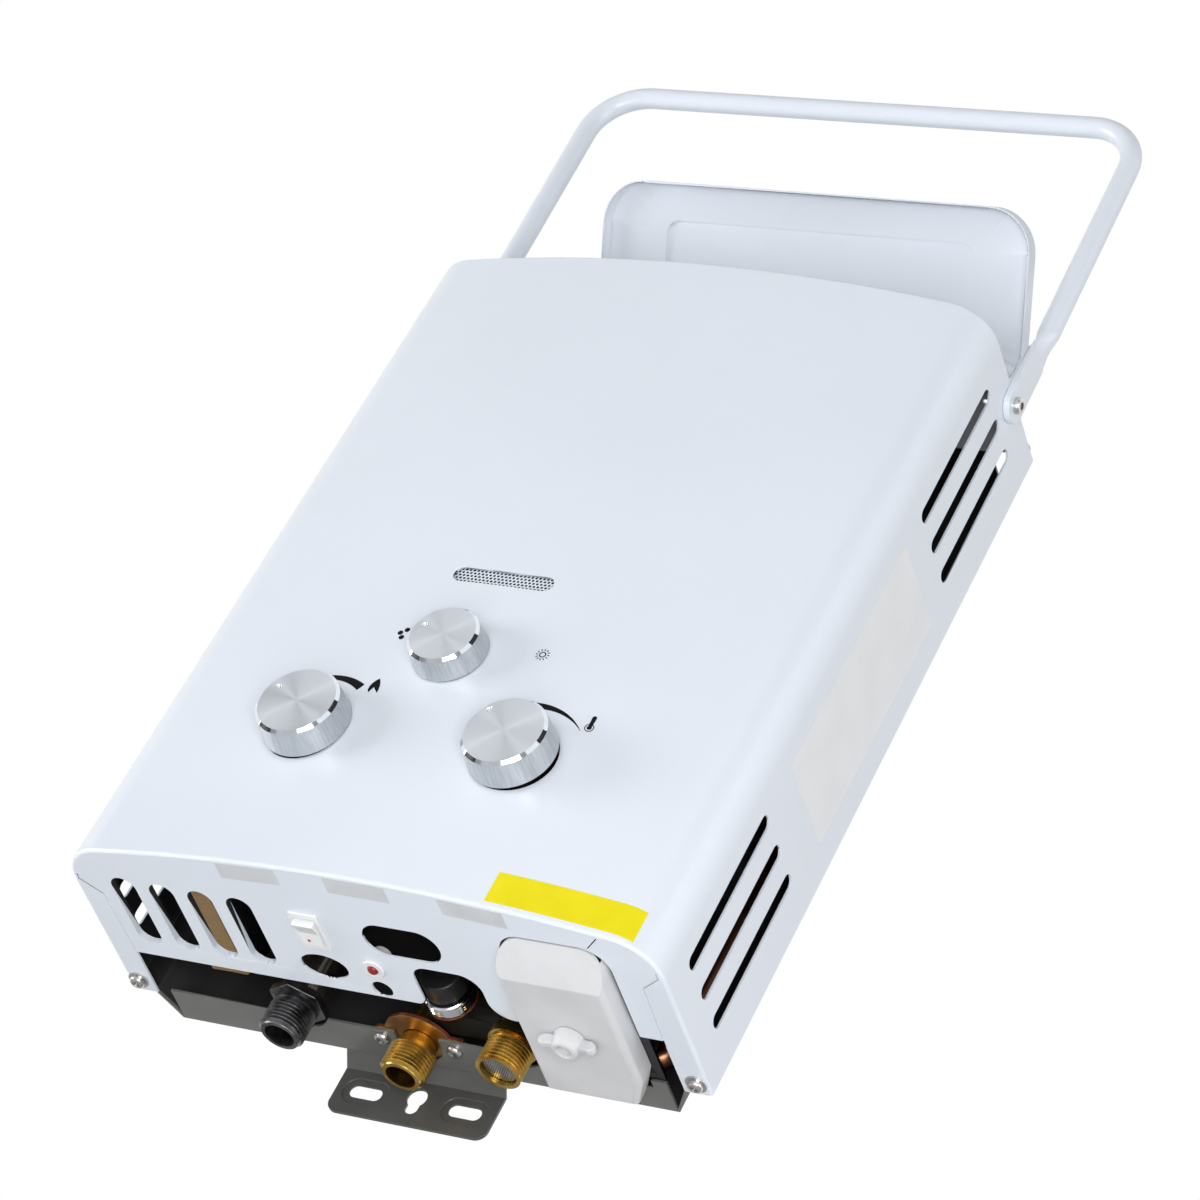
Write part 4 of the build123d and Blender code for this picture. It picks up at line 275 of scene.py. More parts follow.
def mix_finishes():
    """All finishes of the heater, by name."""
    enamel = bpy.context.scene.heater_enamel
    white, inside, plate = tuple(enamel.cover), tuple(enamel.inside), tuple(enamel.plate)
    metal = tuple(bpy.context.scene.heater_knobs.metal)
    FINISHES.update({
        "enamel": painted(
            "white_enamel", white, 0.3, 0, shade(white, 0.985), shade(white, 1.01), 9, (700, 0.05, 0.00005),
            Coat_Weight=0.35, Coat_Roughness=0.12),
        "cap_enamel": painted(
            "cap_enamel", white, 0.38, 0, shade(white, 0.98), shade(white, 1.02), 12, (600, 0.06, 0.00005),
            Coat_Weight=0.2, Coat_Roughness=0.2),
        # painted shade: near-black finish for faces inside the heater, where shade falls
        "inside": painted(
            "cover_inside", inside, 0.55, 0, shade(inside, 0.8), shade(inside, 1.25), 25, (900, 0.1)),
        "plate": painted(
            "grey_paint", plate, 0.36, 0.25, shade(plate, 0.9), shade(plate, 1.08), 30,
            (1400, 0.12, 0.00006), Coat_Weight=0.15),
        # painted shade: the brackets take the plate's grey at about half brightness
        "bracket": painted(
            "bracket_paint", shade(plate, 0.52), 0.3, 0.3, shade(plate, 0.46), shade(plate, 0.58), 30,
            (1400, 0.12, 0.00006), Coat_Weight=0.2),
        "zinc": painted(
            "zinc_plate", (0.60, 0.60, 0.59), 0.28, 1, (0.48, 0.48, 0.47), (0.72, 0.71, 0.69), 180,
            (2500, 0.12, 0.00003)),
        "steel_sheet": painted(
            "galvanised_sheet", (0.50, 0.50, 0.50), 0.38, 1, (0.40, 0.40, 0.41), (0.58, 0.58, 0.58), 120,
            (1500, 0.06), detail=1),
        "pale_sheet": painted(
            "pale_sheet", (0.62, 0.64, 0.67), 0.45, 0.2, (0.58, 0.60, 0.63), (0.66, 0.68, 0.71), 90,
            (1200, 0.08)),
        "brass": painted(
            "brass", (0.58, 0.38, 0.085), 0.28, 1, (0.40, 0.24, 0.045), (0.72, 0.48, 0.12), 90,
            (1800, 0.15, 0.00004), gloss=(0.18, 0.36, 60)),
        # painted shade: brass darkened to near black, for the water valve that sits in shade
        "dull_brass": painted(
            "dull_brass", (0.006, 0.005, 0.004), 0.55, 0.3, (0.004, 0.004, 0.003), (0.014, 0.010, 0.006),
            70, (1400, 0.3, 0.00006), Specular_IOR_Level=0.2),
        "flange_brass": painted(
            "flange_brass", (0.42, 0.22, 0.07), 0.3, 1, (0.26, 0.11, 0.035), (0.56, 0.33, 0.10), 55,
            (1500, 0.15, 0.00004), gloss=(0.22, 0.42, 60)),
        "washer": painted(
            "washer_red", (0.16, 0.040, 0.022), 0.45, 0.4, (0.10, 0.022, 0.012), (0.24, 0.070, 0.035), 200,
            (1400, 0.2, 0.00003)),
        "copper": painted(
            "copper", (0.60, 0.26, 0.14), 0.3, 1, (0.44, 0.17, 0.09), (0.72, 0.34, 0.19), 60,
            (1500, 0.12, 0.00004), gloss=(0.22, 0.42, 50)),
        # painted shade: copper darkened to near black, for the exchanger's shell in shade inside the heater
        "smoked_copper": painted(
            "smoked_copper", (0.022, 0.013, 0.010), 0.55, 0.5, (0.012, 0.008, 0.007), (0.045, 0.022, 0.015),
            60, (1500, 0.15, 0.00005)),
        "gas_metal": painted(
            "blackened_steel", (0.12, 0.12, 0.122), 0.3, 0.95, (0.05, 0.05, 0.052), (0.20, 0.20, 0.203),
            160, (1600, 0.25, 0.00006)),
        # painted shade: cast aluminium darkened far below its own grey, for the gas valve and manifold in
        # shade inside the heater
        "cast": painted(
            "cast_aluminium", (0.07, 0.062, 0.05), 0.5, 0.9, (0.035, 0.031, 0.025), (0.12, 0.105, 0.08), 80,
            (1200, 0.5, 0.00012)),
        "chrome": painted(
            "chrome", (0.75, 0.76, 0.78), 0.09, 1, (0.70, 0.71, 0.73), (0.80, 0.81, 0.83), 200,
            (900, 0.02, 0.00002)),
        "black_plastic": painted(
            "black_plastic", (0.010, 0.010, 0.011), 0.34, 0, (0.009, 0.009, 0.010), (0.018, 0.018, 0.019),
            120, (1600, 0.2, 0.00004), Specular_IOR_Level=0.35),
        "rubber": painted(
            "rubber", (0.015, 0.015, 0.015), 0.7, 0, (0.010, 0.010, 0.010), (0.024, 0.024, 0.024), 90,
            (900, 0.3, 0.00006)),
        "white_plastic": painted(
            "white_plastic", (0.80, 0.81, 0.82), 0.33, 0, (0.78, 0.79, 0.80), (0.82, 0.83, 0.84), 70,
            (1500, 0.08, 0.00003), Subsurface_Weight=0.08, Subsurface_Radius=(0.002, 0.002, 0.002)),
        "milky": painted(
            "milky_plastic", (0.62, 0.625, 0.64), 0.42, 0, (0.60, 0.605, 0.62), (0.65, 0.655, 0.67), 45,
            (1200, 0.12, 0.00004), Subsurface_Weight=0.25, Subsurface_Radius=(0.005, 0.005, 0.004)),
        "red_lens": painted(
            "red_lens", (0.30, 0.004, 0.008), 0.16, 0, (0.12, 0.002, 0.004), (0.34, 0.006, 0.010), 500,
            (500, 0.05, 0.00003), Coat_Weight=0.2),
        "board": painted(
            "paper_board", (0.56, 0.36, 0.17), 0.45, 0, (0.52, 0.33, 0.15), (0.60, 0.39, 0.19), 150,
            (1100, 0.15, 0.00005), stretch=(1, 6, 1)),
        "ceramic": painted(
            "ceramic", (0.78, 0.76, 0.71), 0.25, 0, (0.74, 0.72, 0.66), (0.82, 0.80, 0.76), 90,
            (700, 0.05)),
        "cell": painted(
            "cell_jacket", (0.05, 0.05, 0.06), 0.3, 0.4, (0.04, 0.04, 0.05), (0.07, 0.07, 0.08), 50,
            (700, 0.05)),
        "knob_face": brushed_by_turning(
            finish_of("turned_face", metal, 0.32, 1, Anisotropic=0.88), (0, 420, 1), shade(metal, 0.95),
            shade(metal, 1.05), 0.12),
        "knob_rim": painted(
            "cut_rim", shade(metal, 1.25), 0.06, 1, shade(metal, 1.2), shade(metal, 1.3), 300,
            (900, 0.02, 0.00002)),
        # partly painted shade: the brushed side is darker than the face's aluminium, as the side falls in
        # shade; the brushing is real
        "knob_side": painted(
            "brushed_side", (0.56, 0.58, 0.60), 0.4, 1, (0.51, 0.53, 0.55), (0.61, 0.63, 0.65), 1300,
            (2600, 0.14, 0.00002), stretch=(1, 0.03, 1), skin_stretch=(1, 0.03, 1)),
        "knob_base": painted(
            "knob_base", (0.02, 0.02, 0.02), 0.4, 0, (0.015, 0.015, 0.015), (0.03, 0.03, 0.03), 90,
            (900, 0.1)),
        "black_print": painted(
            "black_print", (0.007, 0.007, 0.008), 0.75, 0, (0.005, 0.005, 0.006), (0.010, 0.010, 0.011),
            300, (1200, 0.06, 0.00002), Specular_IOR_Level=0.08),
        "yellow_film": painted(
            "yellow_film", (0.80, 0.70, 0.008), 0.4, 0, (0.78, 0.68, 0.007), (0.83, 0.73, 0.010), 60,
            (500, 0.05, 0.00003), Specular_IOR_Level=0.25),
        "grey_film": painted(
            "grey_film", (0.60, 0.62, 0.65), 0.35, 0, (0.57, 0.59, 0.62), (0.62, 0.64, 0.67), 80,
            (500, 0.05, 0.00003)),
        "pale_film": painted(
            "pale_film", (0.80, 0.81, 0.83), 0.28, 0, (0.79, 0.80, 0.82), (0.82, 0.83, 0.85), 50,
            (500, 0.05, 0.00003)),
        "red_print": painted(
            "red_print", (0.60, 0.015, 0.02), 0.4, 0, (0.55, 0.012, 0.016), (0.65, 0.02, 0.025), 300,
            (1200, 0.06, 0.00002)),
    })


# --- Mesh helpers --------------------------------------------------------------------------
def keep(name, mesh):
    """A new object at the origin, with its place in its mesh."""
    piece = bpy.data.objects.new(name, mesh)
    bpy.context.scene.collection.objects.link(piece)
    return piece


def piece_from(name, work, *finishes):
    """A new object from a bmesh, with its finishes."""
    mesh = bpy.data.meshes.new(name)
    work.to_mesh(mesh)
    work.free()
    for finish in finishes:
        mesh.materials.append(FINISHES[finish])
    return keep(name, mesh)


def settle(piece, body, slot, *replaced):
    """Let a finished piece ride on its body and hide the nodes it replaces; the slot is not used."""
    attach(piece, body)
    if replaced:
        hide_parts(*replaced)
    return piece


def finished(piece):
    """Apply the piece's modifiers and keep one plain mesh."""
    bpy.context.view_layer.update()
    depsgraph = bpy.context.evaluated_depsgraph_get()
    mesh = bpy.data.meshes.new_from_object(
        piece.evaluated_get(depsgraph), preserve_all_data_layers=True, depsgraph=depsgraph)
    old = piece.data
    piece.modifiers.clear()
    piece.data = mesh
    mesh.name = piece.name
    bpy.data.meshes.remove(old)
    return piece


def smooth(piece, angle=32):
    """Smooth shading that keeps the sharp edges."""
    piece.data.shade_smooth()
    piece.data.set_sharp_from_angle(angle=radians(angle))
    return piece


def smooth_copy(node, name, finish, slot, edge=0.0):
    """A smooth-shaded stand-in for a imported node: its triangles as one closed skin, with softened edges."""
    work = bmesh.new()
    work.from_mesh(frame["nodes"][node].data)
    bmesh.ops.remove_doubles(work, verts=work.verts, dist=2e-7)
    bmesh.ops.dissolve_degenerate(work, edges=work.edges, dist=1e-6)
    piece = smooth(piece_from(name, work, finish))
    if edge:
        soften(piece, edge)
    even = piece.modifiers.new("flat faces stay flat", "WEIGHTED_NORMAL")
    even.keep_sharp = True
    finished(piece)
    return settle(piece, BODY_OF[node], slot, node)


def soften(piece, width, angle=32):
    """Small rounding on the piece's edges."""
    work = bmesh.new()
    work.from_mesh(piece.data)
    bmesh.ops.dissolve_limit(work, angle_limit=radians(0.6), verts=work.verts, edges=work.edges)
    work.to_mesh(piece.data)
    work.free()
    bevel = piece.modifiers.new("soft edges", "BEVEL")
    bevel.width = width
    bevel.segments = 2
    bevel.limit_method = "ANGLE"
    bevel.angle_limit = radians(angle)
    bevel.use_clamp_overlap = True
    bevel.harden_normals = True
    finished(piece)


def cut_away(piece, tool, own=False):
    """Cut a tool's shape out of a piece and drop the tool. Own: the tool's parts cross one another."""
    cut = piece.modifiers.new("cut", "BOOLEAN")
    cut.operation = "DIFFERENCE"
    cut.solver = "EXACT"
    cut.use_self = own
    cut.object = tool
    finished(piece)
    bpy.data.objects.remove(tool)
    return piece


def around(radius, turn):
    """Point at a radius and a turn."""
    return radius * cos(turn), radius * sin(turn)


def turned(name, profile, basis, steps=96, finishes=(), closed=True):
    """A turned piece: (radius, height, finish index) points round an axis.
    The basis places it: its Z column is the axis. The UV map runs round the axis and along the profile."""
    work = bmesh.new()
    layer = work.loops.layers.uv.new("turned")
    rings = []
    for radius, height, *_ in profile:
        turns = [2 * pi * i / steps for i in range(steps)] if radius >= 1e-7 else [0]
        rings.append([work.verts.new((*around(radius, turn), height)) for turn in turns])
    pairs = list(zip(range(len(rings)), range(1, len(rings))))
    if closed:
        pairs.append((len(rings) - 1, 0))
    for a, b in pairs:
        low, high = rings[a], rings[b]
        index = profile[a][2] if len(profile[a]) > 2 else 0
        for i in range(steps):
            j = (i + 1) % steps
            if len(low) == 1 and len(high) == 1:
                break
            if len(low) == 1:
                corners, turn, along = (low[0], high[j], high[i]), (i + 0.5, i + 1, i), (0, 1, 1)
            elif len(high) == 1:
                corners, turn, along = (low[i], low[j], high[0]), (i, i + 1, i + 0.5), (0, 0, 1)
            else:
                corners = (low[i], low[j], high[j], high[i])
                turn, along = (i, i + 1, i + 1, i), (0, 0, 1, 1)
            face = work.faces.new(corners)
            face.material_index = index
            for loop, u, v in zip(face.loops, turn, along):
                loop[layer].uv = (u / steps, (a + v) / len(rings))
    bmesh.ops.recalc_face_normals(work, faces=work.faces)
    work.transform(basis)
    return smooth(piece_from(name, work, *finishes), 28)


def axis_basis(origin, axis):
    """Matrix whose Z column is the axis and whose place is the origin, both in millimetres."""
    z = Vector(axis).normalized()
    turn = z.to_track_quat("Z", "Y").to_matrix().to_4x4()
    return Matrix.Translation(Vector(origin) * MM) @ turn @ Matrix.Scale(MM, 4)


def joined(name, pieces):
    """Several pieces as one."""
    materials = list(dict.fromkeys(material for piece in pieces for material in piece.data.materials))
    work = bmesh.new()
    for piece in pieces:
        start = len(work.faces)
        work.from_mesh(piece.data)
        work.faces.ensure_lookup_table()
        order = [materials.index(material) for material in piece.data.materials]
        for face in work.faces[start:]:
            face.material_index = order[face.material_index] if order else 0
    whole = piece_from(name, work)
    for material in materials:
        whole.data.materials.append(material)
    for piece in pieces:
        old = piece.data
        bpy.data.objects.remove(piece)
        bpy.data.meshes.remove(old)
    return whole


# --- Geometry Nodes trees ------------------------------------------------------------------
def new_tree(name, sizes):
    """A geometry tree with a mesh input, named sizes and a mesh output."""
    tree = bpy.data.node_groups.new(name, "GeometryNodeTree")
    tree.interface.new_socket("Geometry", in_out="INPUT", socket_type="NodeSocketGeometry")
    tree.interface.new_socket("Geometry", in_out="OUTPUT", socket_type="NodeSocketGeometry")
    for label, kind in sizes:
        tree.interface.new_socket(label, in_out="INPUT", socket_type=kind)
    start = tree.nodes.new("NodeGroupInput")
    end = tree.nodes.new("NodeGroupOutput")
    return tree, start, end


def end_tree(tree, start, end, geometry):
    """Realize the instances, set the finish and close the tree."""
    realize = add(tree, "GeometryNodeRealizeInstances", Geometry=geometry)
    paint = add(tree, "GeometryNodeSetMaterial", Geometry=realize.outputs["Geometry"],
                Material=start.outputs["Finish"])
    tree.links.new(paint.outputs["Geometry"], end.inputs["Geometry"])
    return tree


def grow(piece, tree, /, **values):
    """Run a tree on a piece with the given inputs and keep the result as a plain mesh."""
    modifier = piece.modifiers.new(tree.name, "NODES")
    modifier.node_group = tree
    for item in tree.interface.items_tree:
        if item.in_out == "INPUT" and item.name.replace(" ", "_").lower() in values:
            modifier[item.identifier] = values[item.name.replace(" ", "_").lower()]
    finished(piece)
    piece.data.materials.clear()
    piece.data.materials.append(values["finish"])
    piece.data.polygons.foreach_set("material_index", [0] * len(piece.data.polygons))
    return piece


def placing_tree():
    """Sets one copy of a piece on each point, turned as asked."""
    tree, start, end = new_tree("Placed copies", [
        ("Piece", "NodeSocketObject"), ("Turn", "NodeSocketVector"), ("Finish", "NodeSocketMaterial"),
    ])
    info = add(tree, "GeometryNodeObjectInfo", Object=start.outputs["Piece"])
    place = add(tree, "GeometryNodeInstanceOnPoints", Points=start.outputs["Geometry"],
                Instance=info.outputs["Geometry"], Rotation=start.outputs["Turn"])
    return end_tree(tree, start, end, place.outputs["Instances"])


def perforation_tree():
    """Staggered rows of round holes, made of six-sided cells."""
    tree, start, end = new_tree("Perforated sheet", [
        ("Cell", "NodeSocketObject"), ("Columns", "NodeSocketInt"), ("Rows", "NodeSocketInt"),
        ("Pitch", "NodeSocketFloat"), ("Finish", "NodeSocketMaterial"),
    ])
    columns, rows, pitch = (start.outputs[name] for name in ("Columns", "Rows", "Pitch"))
    rise = maths(tree, "MULTIPLY", pitch, sqrt(3) / 2)
    grid = add(tree, "GeometryNodeMeshGrid", Vertices_X=columns, Vertices_Y=rows,
               Size_X=maths(tree, "MULTIPLY", pitch, maths(tree, "SUBTRACT", columns, 1)),
               Size_Y=maths(tree, "MULTIPLY", rise, maths(tree, "SUBTRACT", rows, 1)))
    row = maths(tree, "MODULO", add(tree, "GeometryNodeInputIndex").outputs[0], rows)
    side = maths(tree, "SUBTRACT", maths(tree, "MODULO", row, 2), 0.5)
    reach = maths(tree, "MULTIPLY", side, maths(tree, "MULTIPLY", pitch, 0.5))
    shift = add(tree, "ShaderNodeCombineXYZ", X=reach)
    move = add(tree, "GeometryNodeSetPosition", Geometry=grid.outputs["Mesh"], Offset=shift.outputs["Vector"])
    info = add(tree, "GeometryNodeObjectInfo", Object=start.outputs["Cell"])
    place = add(tree, "GeometryNodeInstanceOnPoints", Points=move.outputs["Geometry"],
                Instance=info.outputs["Geometry"])
    return end_tree(tree, start, end, place.outputs["Instances"])


def thread_tree():
    """A pointed ridge wound round an axis."""
    tree, start, end = new_tree("Wound thread", [
        ("Turns", "NodeSocketFloat"), ("Radius", "NodeSocketFloat"), ("Length", "NodeSocketFloat"),
        ("Ridge", "NodeSocketFloat"), ("Finish", "NodeSocketMaterial"),
    ])
    spiral = add(tree, "GeometryNodeCurveSpiral", Resolution=48, Rotations=start.outputs["Turns"],
                 Start_Radius=start.outputs["Radius"], End_Radius=start.outputs["Radius"],
                 Height=start.outputs["Length"])
    upright = add(tree, "GeometryNodeSetCurveNormal", Curve=spiral.outputs["Curve"])
    upright.mode = "Z_UP"
    ridge = add(tree, "GeometryNodeCurvePrimitiveCircle", Resolution=3, Radius=start.outputs["Ridge"])
    turn = add(tree, "GeometryNodeTransform", Geometry=ridge.outputs["Curve"], Rotation=(0, 0, pi))
    sweep = add(tree, "GeometryNodeCurveToMesh", Curve=upright.outputs["Curve"],
                Profile_Curve=turn.outputs["Geometry"], Fill_Caps=True)
    return end_tree(tree, start, end, sweep.outputs["Mesh"])


def points_mesh(name, places=()):
    """Loose points, in millimetres, that a tree sets copies on."""
    mesh = bpy.data.meshes.new(name)
    mesh.from_pydata([tuple(v * MM for v in place) for place in places], [], [])
    return mesh


# --- Shared shapes -------------------------------------------------------------------------
def screw_head(name, head_r, head_h, washer_r=0.0, washer_t=0.0, socket="cross", shank=(0.0020, 0.006)):
    """A screw head facing up along Z, in metres, with its washer and shank below the seat."""
    rim = 0.32 * head_h
    top = washer_t + head_h
    profile = [(0, -shank[1]), (shank[0], -shank[1]), (shank[0], 0)]
    if washer_r:
        profile += [(washer_r - 0.0002, 0), (washer_r, 0.0002), (washer_r, washer_t - 0.0002),
                    (washer_r - 0.0002, washer_t)]
    profile += [(head_r, washer_t), (head_r, washer_t + rim)]
    # the dome, from the rim to a flat top
    for i in range(1, 7):
        turn = pi / 2 * i / 6
        profile.append((head_r * (0.62 + 0.38 * cos(turn)), washer_t + rim + (head_h - rim) * sin(turn)))
    profile.append((0, top))
    piece = turned(name, profile, Matrix.Identity(4), 40, closed=False)
    cutter = bmesh.new()
    if socket == "cross":
        for turn in (0, pi / 2):
            wall = bmesh.ops.create_cube(cutter, size=1)["verts"]
            for v in wall:
                low = v.co.z < 0
                v.co.x *= head_r * (0.75 if low else 1.16)
                v.co.y *= head_r * (0.2 if low else 0.27)
                v.co.z = top - head_h * 0.62 if low else top + 0.001
            bmesh.ops.rotate(cutter, verts=wall, cent=(0, 0, 0), matrix=Matrix.Rotation(turn, 3, "Z"))
    else:
        bmesh.ops.create_cone(cutter, cap_ends=True, segments=6, radius1=head_r * 0.5, radius2=head_r * 0.5,
                              depth=head_h * 1.6, matrix=Matrix.Translation((0, 0, top)))
    return smooth(cut_away(piece, piece_from(name + "_tool", cutter), own=True), 30)


def screws(name, node, prototype, places):
    """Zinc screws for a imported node: copies of one, in groups of (turn, points in mm)."""
    tree = bpy.data.node_groups.get("Placed copies") or placing_tree()
    groups = []
    for i, (turn, points) in enumerate(places):
        group = keep(f"{name}_{i}", points_mesh(f"{name}_{i}", points))
        grow(group, tree, piece=prototype, turn=turn, finish=FINISHES["zinc"])
        groups.append(group)
    whole = joined(name, groups)
    bpy.data.objects.remove(prototype)
    return settle(smooth(whole, 30), "heater", "zinc_steel", node)


def node_tree(node):
    """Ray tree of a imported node, that prints are laid on."""
    work = bmesh.new()
    work.from_mesh(frame["nodes"][node].data)
    tree = BVHTree.FromBMesh(work)
    work.free()
    return tree


def laid_on(node, name, faces, points, looks, finish, slot, lift=0.03, thick=0.05):
    """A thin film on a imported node. Its points, in millimetres, are cast at the node the way it looks."""
    tree = node_tree(node)
    way = Vector(looks)
    work = bmesh.new()
    outer, inner = [], []
    for point in points:
        start = Vector(point) * MM - way * 0.2    # well outside the piece
        hit, normal, _, _ = tree.ray_cast(start, way)
        if hit is None:
            raise RuntimeError(f"{name}: no {node} under {point}")
        if normal.dot(way) > 0:
            normal = -normal
        outer.append(work.verts.new(hit + normal * (lift + thick) * MM))
        inner.append(work.verts.new(hit + normal * lift * MM))
    for face in faces:
        work.faces.new([outer[i] for i in face])
        work.faces.new([inner[i] for i in reversed(face)])
    sides = dict.fromkeys((a, b) for face in faces for a, b in zip(face, face[1:] + face[:1]))
    for a, b in sides:
        if (b, a) not in sides:
            work.faces.new((outer[b], outer[a], inner[a], inner[b]))
    bmesh.ops.recalc_face_normals(work, faces=work.faces)
    piece = smooth(piece_from(name, work, finish), 40)
    return settle(piece, BODY_OF[node], slot)


def grid_faces(columns, rows):
    """Quads of a grid of points, columns by rows."""
    return [
        [j * columns + i, j * columns + i + 1, (j + 1) * columns + i + 1, (j + 1) * columns + i]
        for j in range(rows - 1) for i in range(columns - 1)
    ]


def patch(corners, columns, rows):
    """Grid of points between four corners (low left, low right, high right, high left)."""
    a, b, c, d = (Vector(corner) for corner in corners)
    out = []
    for j in range(rows):
        v = j / (rows - 1)
        for i in range(columns):
            u = i / (columns - 1)
            out.append((a * (1 - u) + b * u) * (1 - v) + (d * (1 - u) + c * u) * v)
    return out


def fan(count):
    """Triangles from a middle point to the points round it."""
    return [[0, i + 1, (i + 1) % count + 1] for i in range(count)]


def crowned_normals(piece):
    """Give the cover's upright faces the true normals of its crown, corners and sides."""
    side = HALF - CORNER
    crown_y = CORNER_Y + sqrt((CROWN - CORNER) ** 2 - side ** 2)
    edge_x = side * CROWN / (CROWN - CORNER)
    mesh = piece.data
    normals = [Vector(n.vector) for n in mesh.corner_normals]
    for face in mesh.polygons:
        if abs(face.normal.z) > 0.02 or face.center.y > (REAR - 2) * MM:
            continue
        for corner_index in face.loop_indices:
            x, y, _ = mesh.vertices[mesh.loops[corner_index].vertex_index].co / MM
            if abs(x) < edge_x and y < CORNER_Y:
                true = Vector((x, y - crown_y, 0))
            elif y < CORNER_Y:
                true = Vector((x - side if x > 0 else x + side, y - CORNER_Y, 0))
            else:
                true = Vector((1 if x > 0 else -1, 0, 0))
            true.normalize()
            turn = true.dot(face.normal)
            if abs(turn) > 0.95:
                normals[corner_index] = true if turn > 0 else -true
    mesh.normals_split_custom_set(normals)


# --- Operators: cover and back -------------------------------------------------------------
class HEATER_OT_cover(bpy.types.Operator):
    """White cover, with painted shade on its inner side"""

    bl_idname = "heater.cover"
    bl_label = "Front Cover"

    def execute(self, context):
        piece = smooth_copy("front_cover", "cover_skin", "enamel", "white_enamel")
        piece.data.materials.append(FINISHES["inside"])
        past_sheet = 1.05    # just more than the sheet is thick
        # faces inside the cover take the painted shade finish
        for face in piece.data.polygons:
            c, n = face.center / MM, face.normal
            if abs(c.x) > HALF - past_sheet and abs(n.x) > 0.7:
                inner = n.x * c.x < 0
            elif c.z < FLOOR + past_sheet and abs(n.z) > 0.7:
                inner = n.z > 0
            elif abs(n.z) < 0.5 and c.y < REAR - 60:
                inner = n.x * c.x + n.y * (c.y - REAR + 40) < 0
            else:
                inner = False
            face.material_index = 1 if inner else 0
        crowned_normals(piece)
        return {"FINISHED"}


class HEATER_OT_back(bpy.types.Operator):
    """Grey back plate and the two wall brackets"""

    bl_idname = "heater.back"
    bl_label = "Back Plate and Brackets"

    def execute(self, context):
        edge = context.scene.heater_enamel.edge
        panel = smooth_copy("back_plate", "back_panel", "plate", "grey_enamel")
        # the back plate's faces inside the heater take the painted shade finish
        panel.data.materials.append(FINISHES["inside"])
        for face in panel.data.polygons:
            c, n = face.center / MM, face.normal
            within = abs(c.x) < HALF - 2.5 and FLOOR + 0.9 < c.z < TOP - 0.9
            if within and c.y > REAR - 14 and n.y < 0.5:
                face.material_index = 1
        # the wall brackets take the painted shade copy of the plate's grey
        for node, name in (("lower_wall_bracket", "lower_hanger"), ("upper_wall_bracket", "upper_hanger")):
            smooth_copy(node, name, "bracket", "grey_enamel", edge * 1.5)
        return {"FINISHED"}


class HEATER_OT_handle(bpy.types.Operator):
    """White carrying handle"""

    bl_idname = "heater.handle"
    bl_label = "Handle"

    def execute(self, context):
        smooth_copy("handle", "carrying_handle", "enamel", "white_enamel")
        return {"FINISHED"}


class HEATER_OT_rain_cap(bpy.types.Operator):
    """Rain cap and its bracket"""

    bl_idname = "heater.rain_cap"
    bl_label = "Rain Cap"

    def execute(self, context):
        smooth_copy("rain_cap", "rain_cap_skin", "cap_enamel", "white_enamel")
        smooth_copy("rain_cap_bracket", "rain_cap_strap", "plate", "grey_enamel")
        return {"FINISHED"}


class HEATER_OT_screws(bpy.types.Operator):
    """Cover, flange and handle screws with their sockets"""

    bl_idname = "heater.screws"
    bl_label = "Screws"

    def execute(self, context):
        low, high = (
            [(x, REAR - COVER_SCREW_DEPTH, z) for x in (-COVER_SCREW_X, COVER_SCREW_X)] for z in (FLOOR, TOP)
        )
        head = screw_head("cover_screw_head", 0.0036, 0.0022, 0.0050, 0.0008)
        screws("cover_screw_set", "cover_screws", head, [((pi, 0, 0.5), low), ((0, 0, 0.3), high)])
        left, right = ([(HOT[0] + reach, HOT[1], FLOOR)] for reach in (-FLANGE_REACH, FLANGE_REACH))
        head = screw_head("flange_screw_head", 0.0036, 0.0024)
        screws("flange_screw_set", "flange_screws", head, [((pi, 0, 0.4), left), ((pi, 0, 1.0), right)])
        lo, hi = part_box("handle_screws")
        y, z = (lo.y + hi.y) / 2 / MM, (lo.z + hi.z) / 2 / MM
        head = screw_head("pivot_screw_head", 0.0040, 0.0026, socket="hex", shank=(0.0020, 0.0075))
        seat = hi.x / MM - 2.6
        screws("pivot_screw_set", "handle_screws", head,
               [((0, pi / 2, 0), [(seat, y, z)]), ((0, -pi / 2, 0), [(-seat, y, z)])])
        return {"FINISHED"}


# --- Operators: knobs and prints -----------------------------------------------------------
class HEATER_OT_knobs(bpy.types.Operator):
    """Turned control knobs with their index dimples"""

    bl_idname = "heater.knobs"
    bl_label = "Knobs"

    def execute(self, context):
        dimple = context.scene.heater_knobs.dimple
        chamfer = 0.0013
        for node, mark_r, mark_turn in (
            ("fire_knob", 13.5, 153), ("water_knob", 15.0, 139), ("season_knob", 10.8, 161),
        ):
            lo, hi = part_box(node)
            centre = (lo + hi) / 2
            base, height = (hi.x - lo.x) / 2, hi.y - lo.y
            face = base - (0.001 if base > 0.018 else 0.00095)
            flat = face - chamfer
            profile = [
                (0, 0, 3), (base - 0.0028, 0, 3), (base - 0.0024, 0, 3), (base, 0, 2), (base, 0.0004, 2),
                (face + 0.0001, height - chamfer, 1), (flat, height - 0.00002, 0),
            ]
            profile += [(flat * (1 - i / 12), height, 0) for i in range(1, 13)]
            basis = Matrix.Translation((centre.x, hi.y, centre.z)) @ Matrix.Rotation(pi / 2, 4, "X")
            piece = turned(f"{node}_metal", profile, basis, 128,
                           ("knob_face", "knob_rim", "knob_side", "knob_base"), closed=False)
            across, up = around(mark_r * MM, radians(mark_turn))
            spot = bmesh.new()
            bmesh.ops.create_uvsphere(
                spot, u_segments=24, v_segments=16, radius=dimple * 1.15,
                matrix=Matrix.Translation((centre.x + across, lo.y - 0.0006, centre.z + up)))
            cut_away(piece, piece_from("dimple_tool", spot, "knob_rim"))
            settle(smooth(piece, 28), BODY_OF[node], "knob_metal", node)
        return {"FINISHED"}


